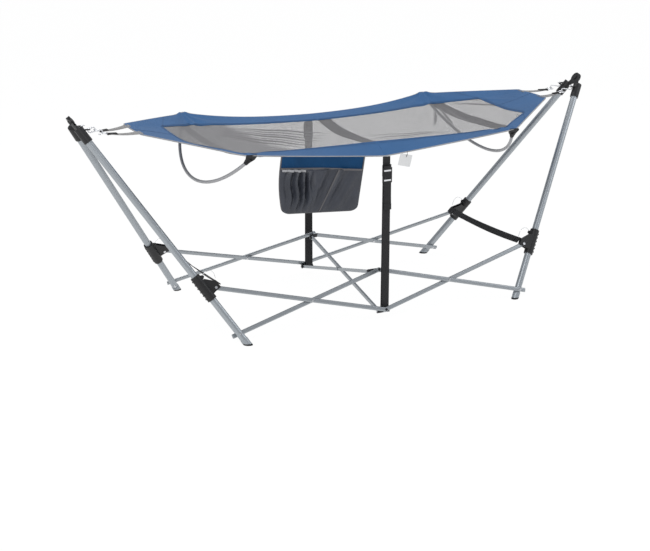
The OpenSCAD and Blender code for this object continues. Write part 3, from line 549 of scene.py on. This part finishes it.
def bedPoint(x, t, lift=0.0):
    # t runs from -1 at the front edge to 1 at the back edge.
    away = abs(x)
    seamBack = backSeamT(away)
    frontSeam = rise("frontSeam", away)
    backSeam = rise("backSeam", away)
    if t < seamFront:
        z = mix(rise("frontEdge", away), frontSeam, (t + 1) / (1 + seamFront))
    elif t > seamBack:
        z = mix(backSeam, rise("backEdge", away), (t - seamBack) / (1 - seamBack))
    else:
        share = (t - seamFront) / (seamBack - seamFront)
        z = mix(frontSeam, backSeam, share) - bedDip(away) * 4 * share * (1 - share)
    edge = max(0.0, (abs(t) - foldSpec["pushFrom"]) / (1 - foldSpec["pushFrom"]))
    push = foldSpec["push"] * sum(bump(away, bowX + off, spread) for off, spread in foldSpec["pushes"])
    z += (push if t > 0 else foldSpec["pushFront"] * push) * edge
    return Vector((x, t * halfWidth(away), z + folds(x, t) + lift))


def addClothMap(obj, place):
    while obj.data.uv_layers:
        obj.data.uv_layers.remove(obj.data.uv_layers[0])
    layer = obj.data.uv_layers.new(name="cloth")
    for loop in obj.data.loops:
        layer.data[loop.index].uv = place[loop.vertex_index]


def addSheet(name, columns, rows, shape, thickness, offset=0, keep=None):
    # A grid primitive laid over the surface: shape(a, b) gives the place and the flat map of a point.
    clearSelection()
    bpy.ops.mesh.primitive_grid_add(x_subdivisions=columns, y_subdivisions=rows, size=1)
    obj = bpy.context.object
    obj.name = name
    settle(obj)
    flat = []
    ab = []
    for vertex in obj.data.vertices:
        a = vertex.co.x + 0.5
        b = vertex.co.y + 0.5
        ab.append((a, b))
        point, uv = shape(a, b)
        vertex.co = point
        flat.append(uv)
    addClothMap(obj, flat)
    if keep:
        def unwanted(polygon):
            corners = [ab[index] for index in polygon.vertices]
            return not keep(*(sum(values) / len(corners) for values in zip(*corners)))

        pickFaces(obj, unwanted)
        bpy.ops.mesh.delete(type="FACE")
        bpy.ops.object.mode_set(mode="OBJECT")
    if thickness:
        modifier = obj.modifiers.new("solidify", "SOLIDIFY")
        modifier.thickness = thickness
        modifier.offset = offset
    applyModifiers(obj)
    smooth(obj, 60)
    if thickness:
        outward(obj)
    return obj


def addTube(name, points, radius, ring, steps=4):
    # A round cord along a smooth curve: ring is the bevel's steps, steps those between two points.
    clearSelection()
    bpy.ops.curve.primitive_nurbs_path_add()
    obj = bpy.context.object
    obj.name = name
    curve = obj.data
    curve.splines.clear()
    spline = curve.splines.new("NURBS")
    spline.points.add(len(points) - 1)
    for target, point in zip(spline.points, points):
        target.co = (*point, 1)
    spline.order_u = 3
    spline.use_endpoint_u = True
    spline.resolution_u = steps
    curve.dimensions = "3D"
    curve.bevel_depth = radius
    curve.bevel_resolution = ring
    curve.use_fill_caps = True
    activate(obj)
    bpy.ops.object.convert(target="MESH")
    obj = bpy.context.object
    settle(obj)
    if not obj.data.uv_layers:
        obj.data.uv_layers.new(name="cloth")
    obj.data.uv_layers[0].name = "cloth"
    length = sum((b - a).length for a, b in zip(points, points[1:]))
    for item in obj.data.uv_layers[0].data:
        item.uv = (item.uv[0] * length, item.uv[1] * radius * math.tau)
    outward(obj)
    smooth(obj, 60)
    return obj


def addStrap(name, points, across, width, thickness, steps=6):
    # Flat webbing: points is the path, across the direction of its width at each point.
    count = len(points)
    widths = width if isinstance(width, list) else [width] * count
    lengths = [0.0]
    for a, b in zip(points, points[1:]):
        lengths.append(lengths[-1] + (b - a).length)

    def shape(a, b):
        position = a * (count - 1)
        index = min(int(position), count - 2)
        share = position - index
        point = points[index].lerp(points[index + 1], share)
        side = Vector(across[index]).lerp(Vector(across[index + 1]), share).normalized()
        off = (b - 0.5) * mix(widths[index], widths[index + 1], share)
        return point + side * off, (mix(lengths[index], lengths[index + 1], share), off)

    return addSheet(name, (count - 1) * 2, steps, shape, thickness)


def joinPieces(name, pieces):
    clearSelection()
    for piece in pieces:
        piece.select_set(True)
    bpy.context.view_layer.objects.active = pieces[0]
    if len(pieces) > 1:
        bpy.ops.object.join()
    pieces[0].name = name
    return pieces[0]


def foldPiece(obj, body):
    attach(obj, body)
    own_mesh(obj)


def foldWithBed(obj, side):
    foldPiece(obj, "bed_" + side)


# Bed: a see-through net in a blue border, in two halves that meet at the middle.
def borderT(away, share):
    # share runs from 0 at the front edge to 1 at the back edge; the two strips take equal shares.
    strip = bedSpec["stripShare"]
    if share < strip:
        return mix(-1, seamFront, share / strip)
    if share > 1 - strip:
        return 1 - (1 - backSeamT(away)) * (1 - share) / strip
    return mix(seamFront, backSeamT(away), (share - strip) / (1 - 2 * strip))


def makeBorder(side, sign):
    endShare, strip = bedSpec["endShare"], bedSpec["stripShare"]

    def shape(a, b):
        if a <= endShare:
            away = mix(bedSpec["middleGap"], netX, a / endShare)
        else:
            away = mix(netX, endX, (a - endShare) / (1 - endShare))
        point = bedPoint(sign * away, borderT(away, b))
        return point, (point.x, point.y)

    border = addSheet("bedBorder_" + side, bedSpec["columns"], bedSpec["rows"], shape,
                      keep=lambda a, b: a > endShare or b < strip or b > 1 - strip,
                      thickness=bedSpec["borderThickness"], offset=-1 if sign > 0 else 1)
    finish(border, blueCloth)
    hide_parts("bed_" + side)
    return border


def makeNet(side, sign):
    overlap = bedSpec["overlap"]

    def shape(a, b):
        away = mix(bedSpec["middleGap"], netX + overlap, a)
        over = overlap / halfWidth(away)
        t = mix(seamFront - over, backSeamT(away) + over, b)
        point = bedPoint(sign * away, t, -bedSpec["netDrop"])
        return point, (point.x, point.y)

    net = addSheet("bedMesh_" + side, bedSpec["columns"], bedSpec["netRows"], shape, thickness=0)
    # This crease value later closes the net's holes along its ridges, for doubled cloth and for painted shade
    # in the folds.
    crease = net.data.attributes.new("crease", "FLOAT", "POINT")
    for vertex in net.data.vertices:
        x, y = vertex.co.x, vertex.co.y
        crease.data[vertex.index].value = min(1.0, ridges(x, y / halfWidth(abs(x))) / foldSpec["fullCrease"])
    finish(net, meshCloth)
    return net


# A welt round the outer edge.
weltSpec = {"radius": 0.0024, "out": 0.001, "drop": 0.002, "steps": 44, "endSteps": 8}


def makeWelt(side, sign):
    out, down = Vector((0, weltSpec["out"], 0)), Vector((0, 0, -weltSpec["drop"]))
    aways = [mix(bedSpec["middleGap"], endX, share) for share in shares(weltSpec["steps"])]
    edge = [bedPoint(sign * away, -1) - out + down for away in aways]
    edge += [bedPoint(sign * (endX + weltSpec["out"]), 2 * share - 1) + down
             for share in shares(weltSpec["endSteps"])[1:-1]]
    edge += [bedPoint(sign * away, 1) + out + down for away in reversed(aways)]
    welt = addTube("bedBinding_" + side, edge, weltSpec["radius"], ring=2)
    finish(welt, paleBinding)
    return welt


# Stitches beside the net, across the end panel and along its diagonal joins.
stitchSpec = {
    "radius": 0.0006, "lift": 0.0003, "start": 0.004,
    "insets": (0.004, 0.010),
    "diagonal": 0.05, "diagonalT": 0.99, "panelT": 0.03,
}


def makeStitching(side, sign):
    def line(aways, ts):
        return [bedPoint(sign * away, t, stitchSpec["lift"]) for away, t in zip(aways, ts)]

    backEnd = backSeamT(netX)
    seams = []
    for inset in stitchSpec["insets"]:
        aways = [mix(stitchSpec["start"], netX, share) for share in shares(40)]
        seams.append(line(aways, [seamFront - inset / halfWidth(away) for away in aways]))
        seams.append(line(aways, [backSeamT(away) + inset / halfWidth(away) for away in aways]))
        seams.append(line([netX + inset] * 13, [mix(seamFront, backEnd, share) for share in shares(12)]))
    tenths = shares(10)
    for edge, seam in ((-1, seamFront), (1, backEnd)):
        seams.append(line([netX - stitchSpec["diagonal"] * share for share in tenths],
                          [mix(seam, edge * stitchSpec["diagonalT"], share) for share in tenths]))
    seams.append(line([mix(netX, endX, share) for share in tenths], [stitchSpec["panelT"]] * 11))
    threads = [addTube("seam", seam, stitchSpec["radius"], ring=0) for seam in seams]
    stitching = joinPieces("bedStitching_" + side, threads)
    finish(stitching, seamThread)
    return stitching


# Webbing under the net from edge to edge. The middle one is sewn to the right half.
webbingSpec = {
    "bow": {"away": bowX + 0.022, "half": 0.028, "drop": 0.0088},
    "middle": {"away": 0.0345, "half": 0.032, "drop": 0.0068},
    "thickness": 0.0014, "from": -0.82, "to": 0.79, "steps": 28,
}


def makeWebbing(side, sign):
    rows = [mix(webbingSpec["from"], webbingSpec["to"], share) for share in shares(webbingSpec["steps"])]
    bands = []
    for name in ("bow", "middle") if side == "right" else ("bow",):
        spec = webbingSpec[name]
        away, half = spec["away"], spec["half"]
        path = [bedPoint(sign * away, t, -spec["drop"]) for t in rows]
        across = [bedPoint(sign * (away + half), t) - bedPoint(sign * (away - half), t) for t in rows]
        bands.append(addStrap("band", path, across, 2 * half, webbingSpec["thickness"], steps=4))
    webbing = joinPieces("bedWebbing_" + side, bands)
    finish(webbing, darkWebbing)
    return webbing


def makeBed(side, sign):
    border = makeBorder(side, sign)
    net = makeNet(side, sign)
    welt = makeWelt(side, sign)
    stitching = makeStitching(side, sign)
    webbing = makeWebbing(side, sign)
    for obj in (border, net, welt, stitching, webbing):
        foldWithBed(obj, side)


# Tapered tails of pale webbing from the bed's end to the rings, with dark wrapped tips and ears.
tailSpec = {
    "left": ((-1.0436, 0.0235, 0.7996), (-1.038, -0.0549, 0.8026)),
    "right": ((1.0436, -0.0235, 0.7996), (1.038, 0.0549, 0.8026)),
    "rootIn": 0.012, "rootT": 0.66, "rootLift": 0.0012,
    "sag": 0.004, "steps": 10,
    "widths": (0.052, 0.02),
    "thickness": 0.0026,
    "wrapLength": 0.034,
    "wrapWidths": [0.0235, 0.022, 0.021],
    "wrapThickness": 0.0052,
    "ear": (0.006, 0.0032),
    "earWidth": 0.018, "earThickness": 0.0016,
    "keep": 0.3,
}


def makeTails(side, sign):
    places = shares(tailSpec["steps"])
    for index, tip in enumerate(Vector(place) for place in tailSpec[side]):
        mark = "%d_%s" % (index, side)
        part = -1 if tip.y < 0 else 1
        root = bedPoint(sign * (endX - tailSpec["rootIn"]), part * tailSpec["rootT"], tailSpec["rootLift"])
        path = [root.lerp(tip, share) - Vector((0, 0, tailSpec["sag"] * math.sin(math.pi * share)))
                for share in places]
        widths = [mix(*tailSpec["widths"], share ** 0.8) for share in places]
        tail = addStrap("tail" + mark, path, [(0, 1, 0)] * len(path), widths, tailSpec["thickness"])
        finish(tail, greyWebbing)
        start = tip + (root - tip).normalized() * tailSpec["wrapLength"]
        wrap = addStrap("tailTip" + mark, [start, start.lerp(tip, 0.5), tip], [(0, 1, 0)] * 3,
                        tailSpec["wrapWidths"], tailSpec["wrapThickness"], steps=4)
        finish(wrap, blackWebbing)
        out, up = tailSpec["ear"]
        loop = [tip + Vector((sign * out * math.sin(turn), 0, up * math.cos(turn)))
                for turn in (math.pi * share for share in shares(8))]
        ear = addStrap("tailLoop" + mark, loop, [(0, 1, 0)] * len(loop), tailSpec["earWidth"],
                       tailSpec["earThickness"], steps=4)
        finish(ear, blackWebbing)
        for obj in (tail, wrap, ear):
            foldWithBed(obj, side)


# Bows: thin poles that hold the bed open, with cloth sockets sewn under its edge.
bowSpec = {"half": 0.362, "sag": 0.184, "lean": 31, "radius": 0.0065, "front": 0.7215, "back": 0.7575}
socketSpec = {
    "sleeveRadius": 0.0092, "sleeve": (0.935, 1.01), "flap": (0.95, 1.0),
    "reach": {-1: 0.0165, 1: 0.01},
    "widths": [0.019, 0.022, 0.026, 0.03, 0.034, 0.039, 0.042],
    "thickness": 0.009,
}


def bowPoint(sign, angle):
    # angle runs from -1 at the front end to 1 at the back end.
    half, sag = bowSpec["half"], bowSpec["sag"]
    radius = (half * half + sag * sag) / (2 * sag)
    arc = math.asin(half / radius)
    lean = math.radians(bowSpec["lean"])
    roll = math.atan2(bowSpec["back"] - bowSpec["front"], 2 * half)
    across = radius * math.sin(angle * arc)
    down = radius - sag - radius * math.cos(angle * arc)
    point = Vector((sign * -down * math.sin(lean), across, down * math.cos(lean)))
    point = Matrix.Rotation(roll, 3, "X") @ point
    return point + Vector((sign * bowX, 0, (bowSpec["front"] + bowSpec["back"]) / 2))


def makeBow(side, sign):
    path = [bowPoint(sign, 2 * share - 1) for share in shares(48)]
    pole = addTube("bowPole_" + side, path, bowSpec["radius"], ring=5)
    finish(pole, bowPaint)
    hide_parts("bow_" + side)
    parts = []
    for end, reach in socketSpec["reach"].items():
        sleeve = [bowPoint(sign, end * mix(*socketSpec["sleeve"], share)) for share in shares(4)]
        parts.append(addTube("sleeve", sleeve, socketSpec["sleeveRadius"], ring=4))
        # The flap widens towards the edge that it is sewn to.
        base = bowPoint(sign, end)
        flap = [bowPoint(sign, end * mix(*socketSpec["flap"], share)) for share in shares(4)]
        flap += [base + Vector((0, end, 1)) * reach * share for share in (0.5, 1)]
        parts.append(addStrap("flap", flap, [(1, 0, 0)] * len(flap), socketSpec["widths"],
                              socketSpec["thickness"]))
    sockets = joinPieces("bowSockets_" + side, parts)
    finish(sockets, blackWebbing)
    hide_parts("bow_caps_" + side)
    for obj in (pole, sockets):
        foldWithBed(obj, side)


sides = {"left": -1, "right": 1}
for side, sign in sides.items():
    makeBed(side, sign)
    makeTails(side, sign)
    makeBow(side, sign)
print("bed ready")


# Side pocket: a blue back, a gathered net pouch in front, a divider, a slanted seam and bound edges. Places
# across it run from -1 at the left to 1 at the right.
pocketSpec = {
    "middle": -0.279, "out": 0.003, "drop": 0.003,
    "width": 0.366, "height": 0.217, "taper": 0.034,
    "round": 0.022, "waist": 0.011,
    "slopeFrom": -0.46, "slopeTo": -0.1, "footSlope": 0.06,
    "band": 0.048, "rimSlope": 0.0065, "bulge": 0.026,
    "divider": -0.42, "slantTop": 0.4, "slantRun": 0.44,
    "backThickness": 0.0014, "pouchThickness": 0.0012, "pouchOut": 0.0042,
    "trimRadius": 0.0029, "trimOut": 0.0022,
    "ribbonOut": 0.0056, "ribbonThickness": 0.0022,
    "rimWidth": 0.0075, "slantWidth": 0.0085,
}
pouchSpec = {
    "swell": {"height": 0.45, "middle": -0.55, "spread": 0.4},
    "gather": {"height": 0.75, "waves": 40, "middle": -0.62, "spread": 0.32, "fade": 0.35},
    "slack": {"height": 0.38, "waves": 15, "middle": 0.2, "spread": 0.7},
    "pinch": {"divider": 0.75, "slant": 0.5, "spread": 0.05},
}
lightRimSpec = {"from": -0.97, "to": -0.44, "down": 0.003, "out": 0.0078, "width": 0.0085, "thickness": 0.002}
pocketTurn = math.atan2(bedSpec["halfBow"] - bedSpec["halfMid"], bowX)
pocketTop = bedPoint(pocketSpec["middle"], -1) - Vector((0, pocketSpec["out"], pocketSpec["drop"]))
edgeRise = bedPoint(pocketSpec["slopeFrom"], -1).z - bedPoint(pocketSpec["slopeTo"], -1).z
edgeSlope = edgeRise / (pocketSpec["slopeTo"] - pocketSpec["slopeFrom"])


def pocketPoint(across, down, out):
    # down in metres from the bed's edge, out towards the front.
    width, corner = pocketSpec["width"] / 2, pocketSpec["round"]
    share = down / pocketSpec["height"]
    low = max(0.0, down - pocketSpec["height"] + corner)
    inset = corner - math.sqrt(max(0.0, corner ** 2 - low * low))
    left = -width + inset - pocketSpec["waist"] * math.sin(math.pi * share)
    right = width - pocketSpec["taper"] * share - inset
    local = mix(left, right, (across + 1) / 2)
    x = local * math.cos(pocketTurn) + out * math.sin(pocketTurn)
    y = local * math.sin(pocketTurn) - out * math.cos(pocketTurn)
    drop = down + edgeSlope * local * max(0.0, 1 - share * 0.8) + pocketSpec["footSlope"] * local * share
    return pocketTop + Vector((x, y, -drop))


def slantAcross(share):
    return pocketSpec["slantTop"] - pocketSpec["slantRun"] * share


def rimDown(across):
    return pocketSpec["band"] + pocketSpec["rimSlope"] * max(0.0, across)


def pouchPart(name, across):
    spec = pouchSpec[name]
    return spec["height"] * bump(across, spec["middle"], spec["spread"])


def pouchBulge(across, down):
    band = pocketSpec["band"]
    share = (down - band) / (pocketSpec["height"] - band)
    if share < 0:
        return 0.0
    body = math.sin(math.pi * min(1, 0.12 + share * 0.88)) ** 0.7 * math.cos(across * math.pi / 2) ** 0.5
    swell = 1 - pouchSpec["swell"]["height"] + pouchPart("swell", across)
    # Gathers hang from the left pocket's rim and fade towards the foot; a slack fold leans across the right.
    wander = 5 * share + 1.5 * math.sin(7 * share)
    gather = pouchPart("gather", across) * math.sin(pouchSpec["gather"]["waves"] * across + wander)
    gather *= 1 - pouchSpec["gather"]["fade"] * share
    slack = pouchPart("slack", across) * math.sin(pouchSpec["slack"]["waves"] * (across + 0.5 * share) + 1)
    # The divider and the slanted seam pull the pouch in.
    spec = pouchSpec["pinch"]
    pinch = spec["divider"] * bump(across, pocketSpec["divider"], spec["spread"]) * (1 - share)
    pinch += spec["slant"] * bump(across, slantAcross(share), spec["spread"])
    return pocketSpec["bulge"] * max(0.0, body * (swell + gather + slack) - pinch * body)


def onPouch(across, down, out):
    return pocketPoint(across, down, out + pouchBulge(across, down))


def pocketRibbon(name, path, across, width):
    return addStrap(name, path, [across] * len(path), width, pocketSpec["ribbonThickness"], steps=3)


def makePocketTrim():
    height, band = pocketSpec["height"], pocketSpec["band"]
    out, ribbonOut = pocketSpec["trimOut"], pocketSpec["ribbonOut"]
    outline = [pocketPoint(-1, height * share, out) for share in shares(24)]
    outline += [pocketPoint(2 * share - 1, height, out) for share in shares(14)[1:-1]]
    outline += [pocketPoint(1, height * (1 - share), out) for share in shares(24)]
    edging = addTube("edging", outline, pocketSpec["trimRadius"], ring=2)
    rim = [onPouch(across, rimDown(across) - 0.003, ribbonOut)
           for across in (2 * share - 1 for share in shares(40))]
    rimRibbon = pocketRibbon("rim", rim, (0, 0, 1), pocketSpec["rimWidth"])
    slant = [onPouch(slantAcross(share), mix(band + 0.002, height - 0.004, share), ribbonOut)
             for share in shares(20)]
    slantRibbon = pocketRibbon("slant", slant, (1, 0, 0.35), pocketSpec["slantWidth"])
    trim = joinPieces("pocketTrim", [edging, rimRibbon, slantRibbon])
    finish(trim, pocketBinding)
    return trim


def makePocket():
    width, height, band = pocketSpec["width"], pocketSpec["height"], pocketSpec["band"]

    def backShape(a, b):
        down = height * (1 - b)
        wave = 0.0016 * math.sin(a * 19 + 2 * math.sin(b * 7)) + 0.0012 * math.sin(a * 41 + b * 9)
        point = pocketPoint(2 * a - 1, down, 0.001 + wave * math.sin(math.pi * min(1, down / band)))
        return point, (a * width, b * height)

    def pouchShape(a, b):
        across = 2 * a - 1
        down = mix(height, rimDown(across) - 0.004, b)
        return onPouch(across, down, pocketSpec["pouchOut"]), (a * width, b * height)

    back = addSheet("pocketBack", 60, 34, backShape, thickness=pocketSpec["backThickness"])
    finish(back, deepBlueCloth)
    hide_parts("side_pocket")
    pouch = addSheet("pocketPouch", 110, 46, pouchShape, thickness=pocketSpec["pouchThickness"])
    finish(pouch, pocketCloth)
    trim = makePocketTrim()

    down = band + lightRimSpec["down"]
    light = [onPouch(mix(lightRimSpec["from"], lightRimSpec["to"], share), down, lightRimSpec["out"])
             for share in shares(16)]
    lightRim = addStrap("pocketLightRim", light, [(0, 0, 1)] * len(light), lightRimSpec["width"],
                        lightRimSpec["thickness"], steps=3)
    finish(lightRim, paleBinding)
    for obj in (back, pouch, trim, lightRim):
        foldWithBed(obj, "left")


makePocket()
print("pocket ready")


# Straps: webbing round the lower hub's pin (its y and z), doubled up to a ladder buckle, with the free end
# hanging outside it. "sewn" is out and down from the top, "throughBuckle" out and up from the rod.
strapSpec = {
    "front": {"middle": 0.006, "pin": (-0.35137, 0.0332), "face": -0.3472, "top": 0.677, "buckle": 0.597,
              "side": -1, "tail": 0.178, "stand": 0.009, "foldAt": (0, -0.351, 0.033), "keep": 0.32},
    "back": {"middle": -0.005, "pin": (0.35137, 0.0332), "face": 0.3472, "top": 0.728, "buckle": 0.648,
             "side": 1, "tail": 0.145, "stand": 0.0072, "foldAt": (0, 0.351, 0.033), "keep": 0.38},
    "width": 0.033, "thickness": 0.0019, "hemThickness": 0.0014,
    "loop": 0.0047, "rod": 0.0045,
    "sewn": (0.0012, 0.003), "besidePin": (0.012, 0.03),
    "throughBuckle": ((0.0012, -0.03), (0.0036, 0.002), (0.0036, 0.042)),
    "tailTop": 0.04, "tailOut": (0.0052, 0.0057), "tailSway": 0.0006, "tailAside": 0.003,
    "tailAcross": (1, 0.04, 0),
}


def makeStrap(end):
    spec = strapSpec[end]
    middle, face, side, buckle = spec["middle"], spec["face"], spec["side"], spec["buckle"]
    pinY, pinZ = spec["pin"]
    width, thickness = strapSpec["width"], strapSpec["thickness"]
    loop, rod = strapSpec["loop"], strapSpec["rod"]
    sewnOut, sewnDown = strapSpec["sewn"]
    innerUp, outerUp = strapSpec["besidePin"]

    def at(y, out, z):
        return Vector((middle, y + side * out, z))

    path = [at(face, sewnOut, spec["top"] - sewnDown), at(face, sewnOut, mix(spec["top"], pinZ, 0.5)),
            at(pinY, -loop, pinZ + innerUp)]
    for turn in (math.pi * share for share in shares(12)):
        path.append(at(pinY, -loop * math.cos(turn), pinZ - loop * math.sin(turn)))
    path.append(at(pinY, loop, pinZ + outerUp))
    path += [at(face, rod + out, buckle + up) for out, up in strapSpec["throughBuckle"]]
    web = addStrap("web", path, [(1, 0, 0)] * len(path), width, thickness)
    tail = []
    for share in shares(14):
        out = rod + mix(*strapSpec["tailOut"], share) + strapSpec["tailSway"] * math.sin(share * 7)
        up = strapSpec["tailTop"] - spec["tail"] * share
        tail.append(at(face, out, buckle + up) + Vector((strapSpec["tailAside"] * share, 0, 0)))
    across = strapSpec["tailAcross"]
    freeEnd = addStrap("freeEnd", tail, [across] * len(tail), width, thickness)
    turned = [point + Vector((0, side * strapSpec["hemThickness"], 0)) for point in tail[-3:]]
    hem = addStrap("hem", turned, [across] * 3, width, strapSpec["hemThickness"], steps=4)
    strap = joinPieces("strapWeb" + end.capitalize(), [web, freeEnd, hem])
    finish(strap, blackWebbing)
    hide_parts("strap_" + end)
    foldPiece(strap, end + "_anchor")


# Ladder buckles: a black body with two side rails and a middle web, behind two bright bars.
buckleSpec = {
    "size": (0.043, 0.0036, 0.062),
    "up": 0.003, "rail": 0.0045,
    "recess": (0.0012, -0.0008),
    "bevel": 0.0011, "rungs": (-0.017, 0.022),
    "rungOut": 0.0023, "rungHalf": 0.0155,
    "rungWidth": 0.0062, "rungThickness": 0.0022,
}


def makeBuckle(end):
    spec = strapSpec[end]
    middle, low = spec["middle"], spec["buckle"]
    y = spec["face"] + spec["side"] * spec["stand"]
    clearSelection()
    bpy.ops.mesh.primitive_cube_add(size=1, location=(middle, y, low + buckleSpec["up"]),
                                    scale=buckleSpec["size"])
    body = bpy.context.object
    body.name = "buckleBody" + end.capitalize()
    settle(body)
    pickFaces(body, lambda polygon: abs(polygon.normal.y) > 0.9)
    bpy.ops.mesh.inset(thickness=buckleSpec["rail"])
    bpy.ops.mesh.inset(thickness=buckleSpec["recess"][0], depth=buckleSpec["recess"][1])
    bpy.ops.object.mode_set(mode="OBJECT")
    bevel = body.modifiers.new("bevel", "BEVEL")
    bevel.width = buckleSpec["bevel"]
    bevel.segments = 2
    applyModifiers(body)
    smooth(body, 50)
    finish(body, blackPlastic)
    rungs = []
    rungY = y + spec["side"] * buckleSpec["rungOut"]
    for up in buckleSpec["rungs"]:
        ends = [Vector((middle + part * buckleSpec["rungHalf"], rungY, low + up)) for part in (-1, 1)]
        rungs.append(addStrap("rung", ends, [(0, 0, 1)] * 2, buckleSpec["rungWidth"],
                              buckleSpec["rungThickness"], steps=3))
    bars = joinPieces(body.name + "Bars", rungs)
    finish(bars, brightSteel)
    for obj in (body, bars):
        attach(obj, "buckle_" + end)


for end in ("front", "back"):
    makeStrap(end)
for end in ("front", "back"):
    makeBuckle(end)
print("straps ready")


# Tie straps hang slack between the sliders on each side.
tieSpec = {
    "left": ((-0.6987, -0.2939, 0.2324), (-0.6987, 0.2838, 0.2280)),
    "right": ((0.6987, -0.2838, 0.2280), (0.6987, 0.2939, 0.2324)),
    "inset": 0.0005, "sag": 0.038,
    "turn": 40, "sway": 0.18, "steps": 24,
    "width": 0.028, "thickness": 0.0021,
    "hemWidth": 0.0285, "hemThickness": 0.0042,
    "hemSteps": (0.25, 1.4),
    "keep": 0.15,
}


def makeTie(side, sign):
    inset = Vector((0, tieSpec["inset"], 0))
    start, stop = (Vector(place) for place in tieSpec[side])
    start, stop = start + inset, stop - inset
    path = []
    across = []
    for share in shares(tieSpec["steps"]):
        path.append(start.lerp(stop, share) - Vector((0, 0, tieSpec["sag"] * share * (1 - share))))
        twist = math.radians(tieSpec["turn"]) + tieSpec["sway"] * math.sin(share * 6.3)
        across.append(Vector((sign * math.cos(twist), 0, math.sin(twist))))
    parts = [addStrap("web", path, across, tieSpec["width"], tieSpec["thickness"])]
    for place, near, wide in ((start, path[1], across[0]), (stop, path[-2], across[-1])):
        for step in tieSpec["hemSteps"]:
            point = place.lerp(near, step)
            parts.append(addStrap("hem", [point, point.lerp(near, 0.35)], [wide] * 2, tieSpec["hemWidth"],
                                  tieSpec["hemThickness"], steps=4))
    tie = joinPieces("tieStrapWeb_" + side, parts)
    finish(tie, blackWebbing)
    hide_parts("tie_strap_" + side)
    foldPiece(tie, "slider_front_" + side)


for side, sign in sides.items():
    makeTie(side, sign)
print("ties ready")

# Lanyards: a wire from each lock button, looped over to its bracket's tip. The route goes inwards and up from
# the button's middle.
lanyardSpec = {
    "radius": 0.0009,
    "route": ((0.001, 0.0062), (0.009, 0.016), (0.024, 0.0245), (0.04, 0.021), (0.051, 0.007),
              (0.056, -0.012)),
}


def makeLanyard(corner):
    low, high = (Vector(place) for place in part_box("lock_button_" + corner))
    centre = (low + high) / 2
    inward = -1 if centre.x > 0 else 1
    route = [centre + Vector((inward * out, 0, up)) for out, up in lanyardSpec["route"]]
    wire = addTube("lanyard_" + corner, route, lanyardSpec["radius"], ring=2, steps=6)
    finish(wire, brightSteel)
    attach(wire, "slider_" + corner)


for corner in ("front_left", "front_right", "back_left", "back_right"):
    makeLanyard(corner)
print("lanyards ready")

# Hang tag: a blank card on a short dark string.
tagSpec = {
    "away": 0.095, "corner": (0, -0.0035, -0.004), "tilt": -14,
    "width": 0.056, "height": 0.048, "drop": 0.007,
    "curl": 0.0022, "thickness": 0.0007,
    "stringRadius": 0.0009,
    "string": ((0.002, 0.001, 0.004), (0.001, -0.003, -0.004), (-0.002, -0.0035, -0.012),
               (-0.004, -0.002, -0.017)),
}


def makeTag():
    corner = bedPoint(tagSpec["away"], -1) + Vector(tagSpec["corner"])
    tilt = math.radians(tagSpec["tilt"])

    def cardShape(a, b):
        u = (a - 0.5) * tagSpec["width"]
        v = -tagSpec["drop"] - (1 - b) * tagSpec["height"]
        curl = tagSpec["curl"] * math.sin(math.pi * a) * (1 - b)
        x = u * math.cos(tilt) - v * math.sin(tilt)
        z = u * math.sin(tilt) + v * math.cos(tilt)
        return corner + Vector((x, -curl, z)), (u, v)

    card = addSheet("tagCard", 12, 12, cardShape, thickness=tagSpec["thickness"])
    finish(card, cardWhite)
    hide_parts("hang_tag")
    route = [corner + Vector(place) for place in tagSpec["string"]]
    string = addTube("tagString", route, tagSpec["stringRadius"], ring=2, steps=6)
    finish(string, blackWebbing)
    for obj in (card, string):
        foldWithBed(obj, "right")


makeTag()
print("tag ready")

print("scene ready")
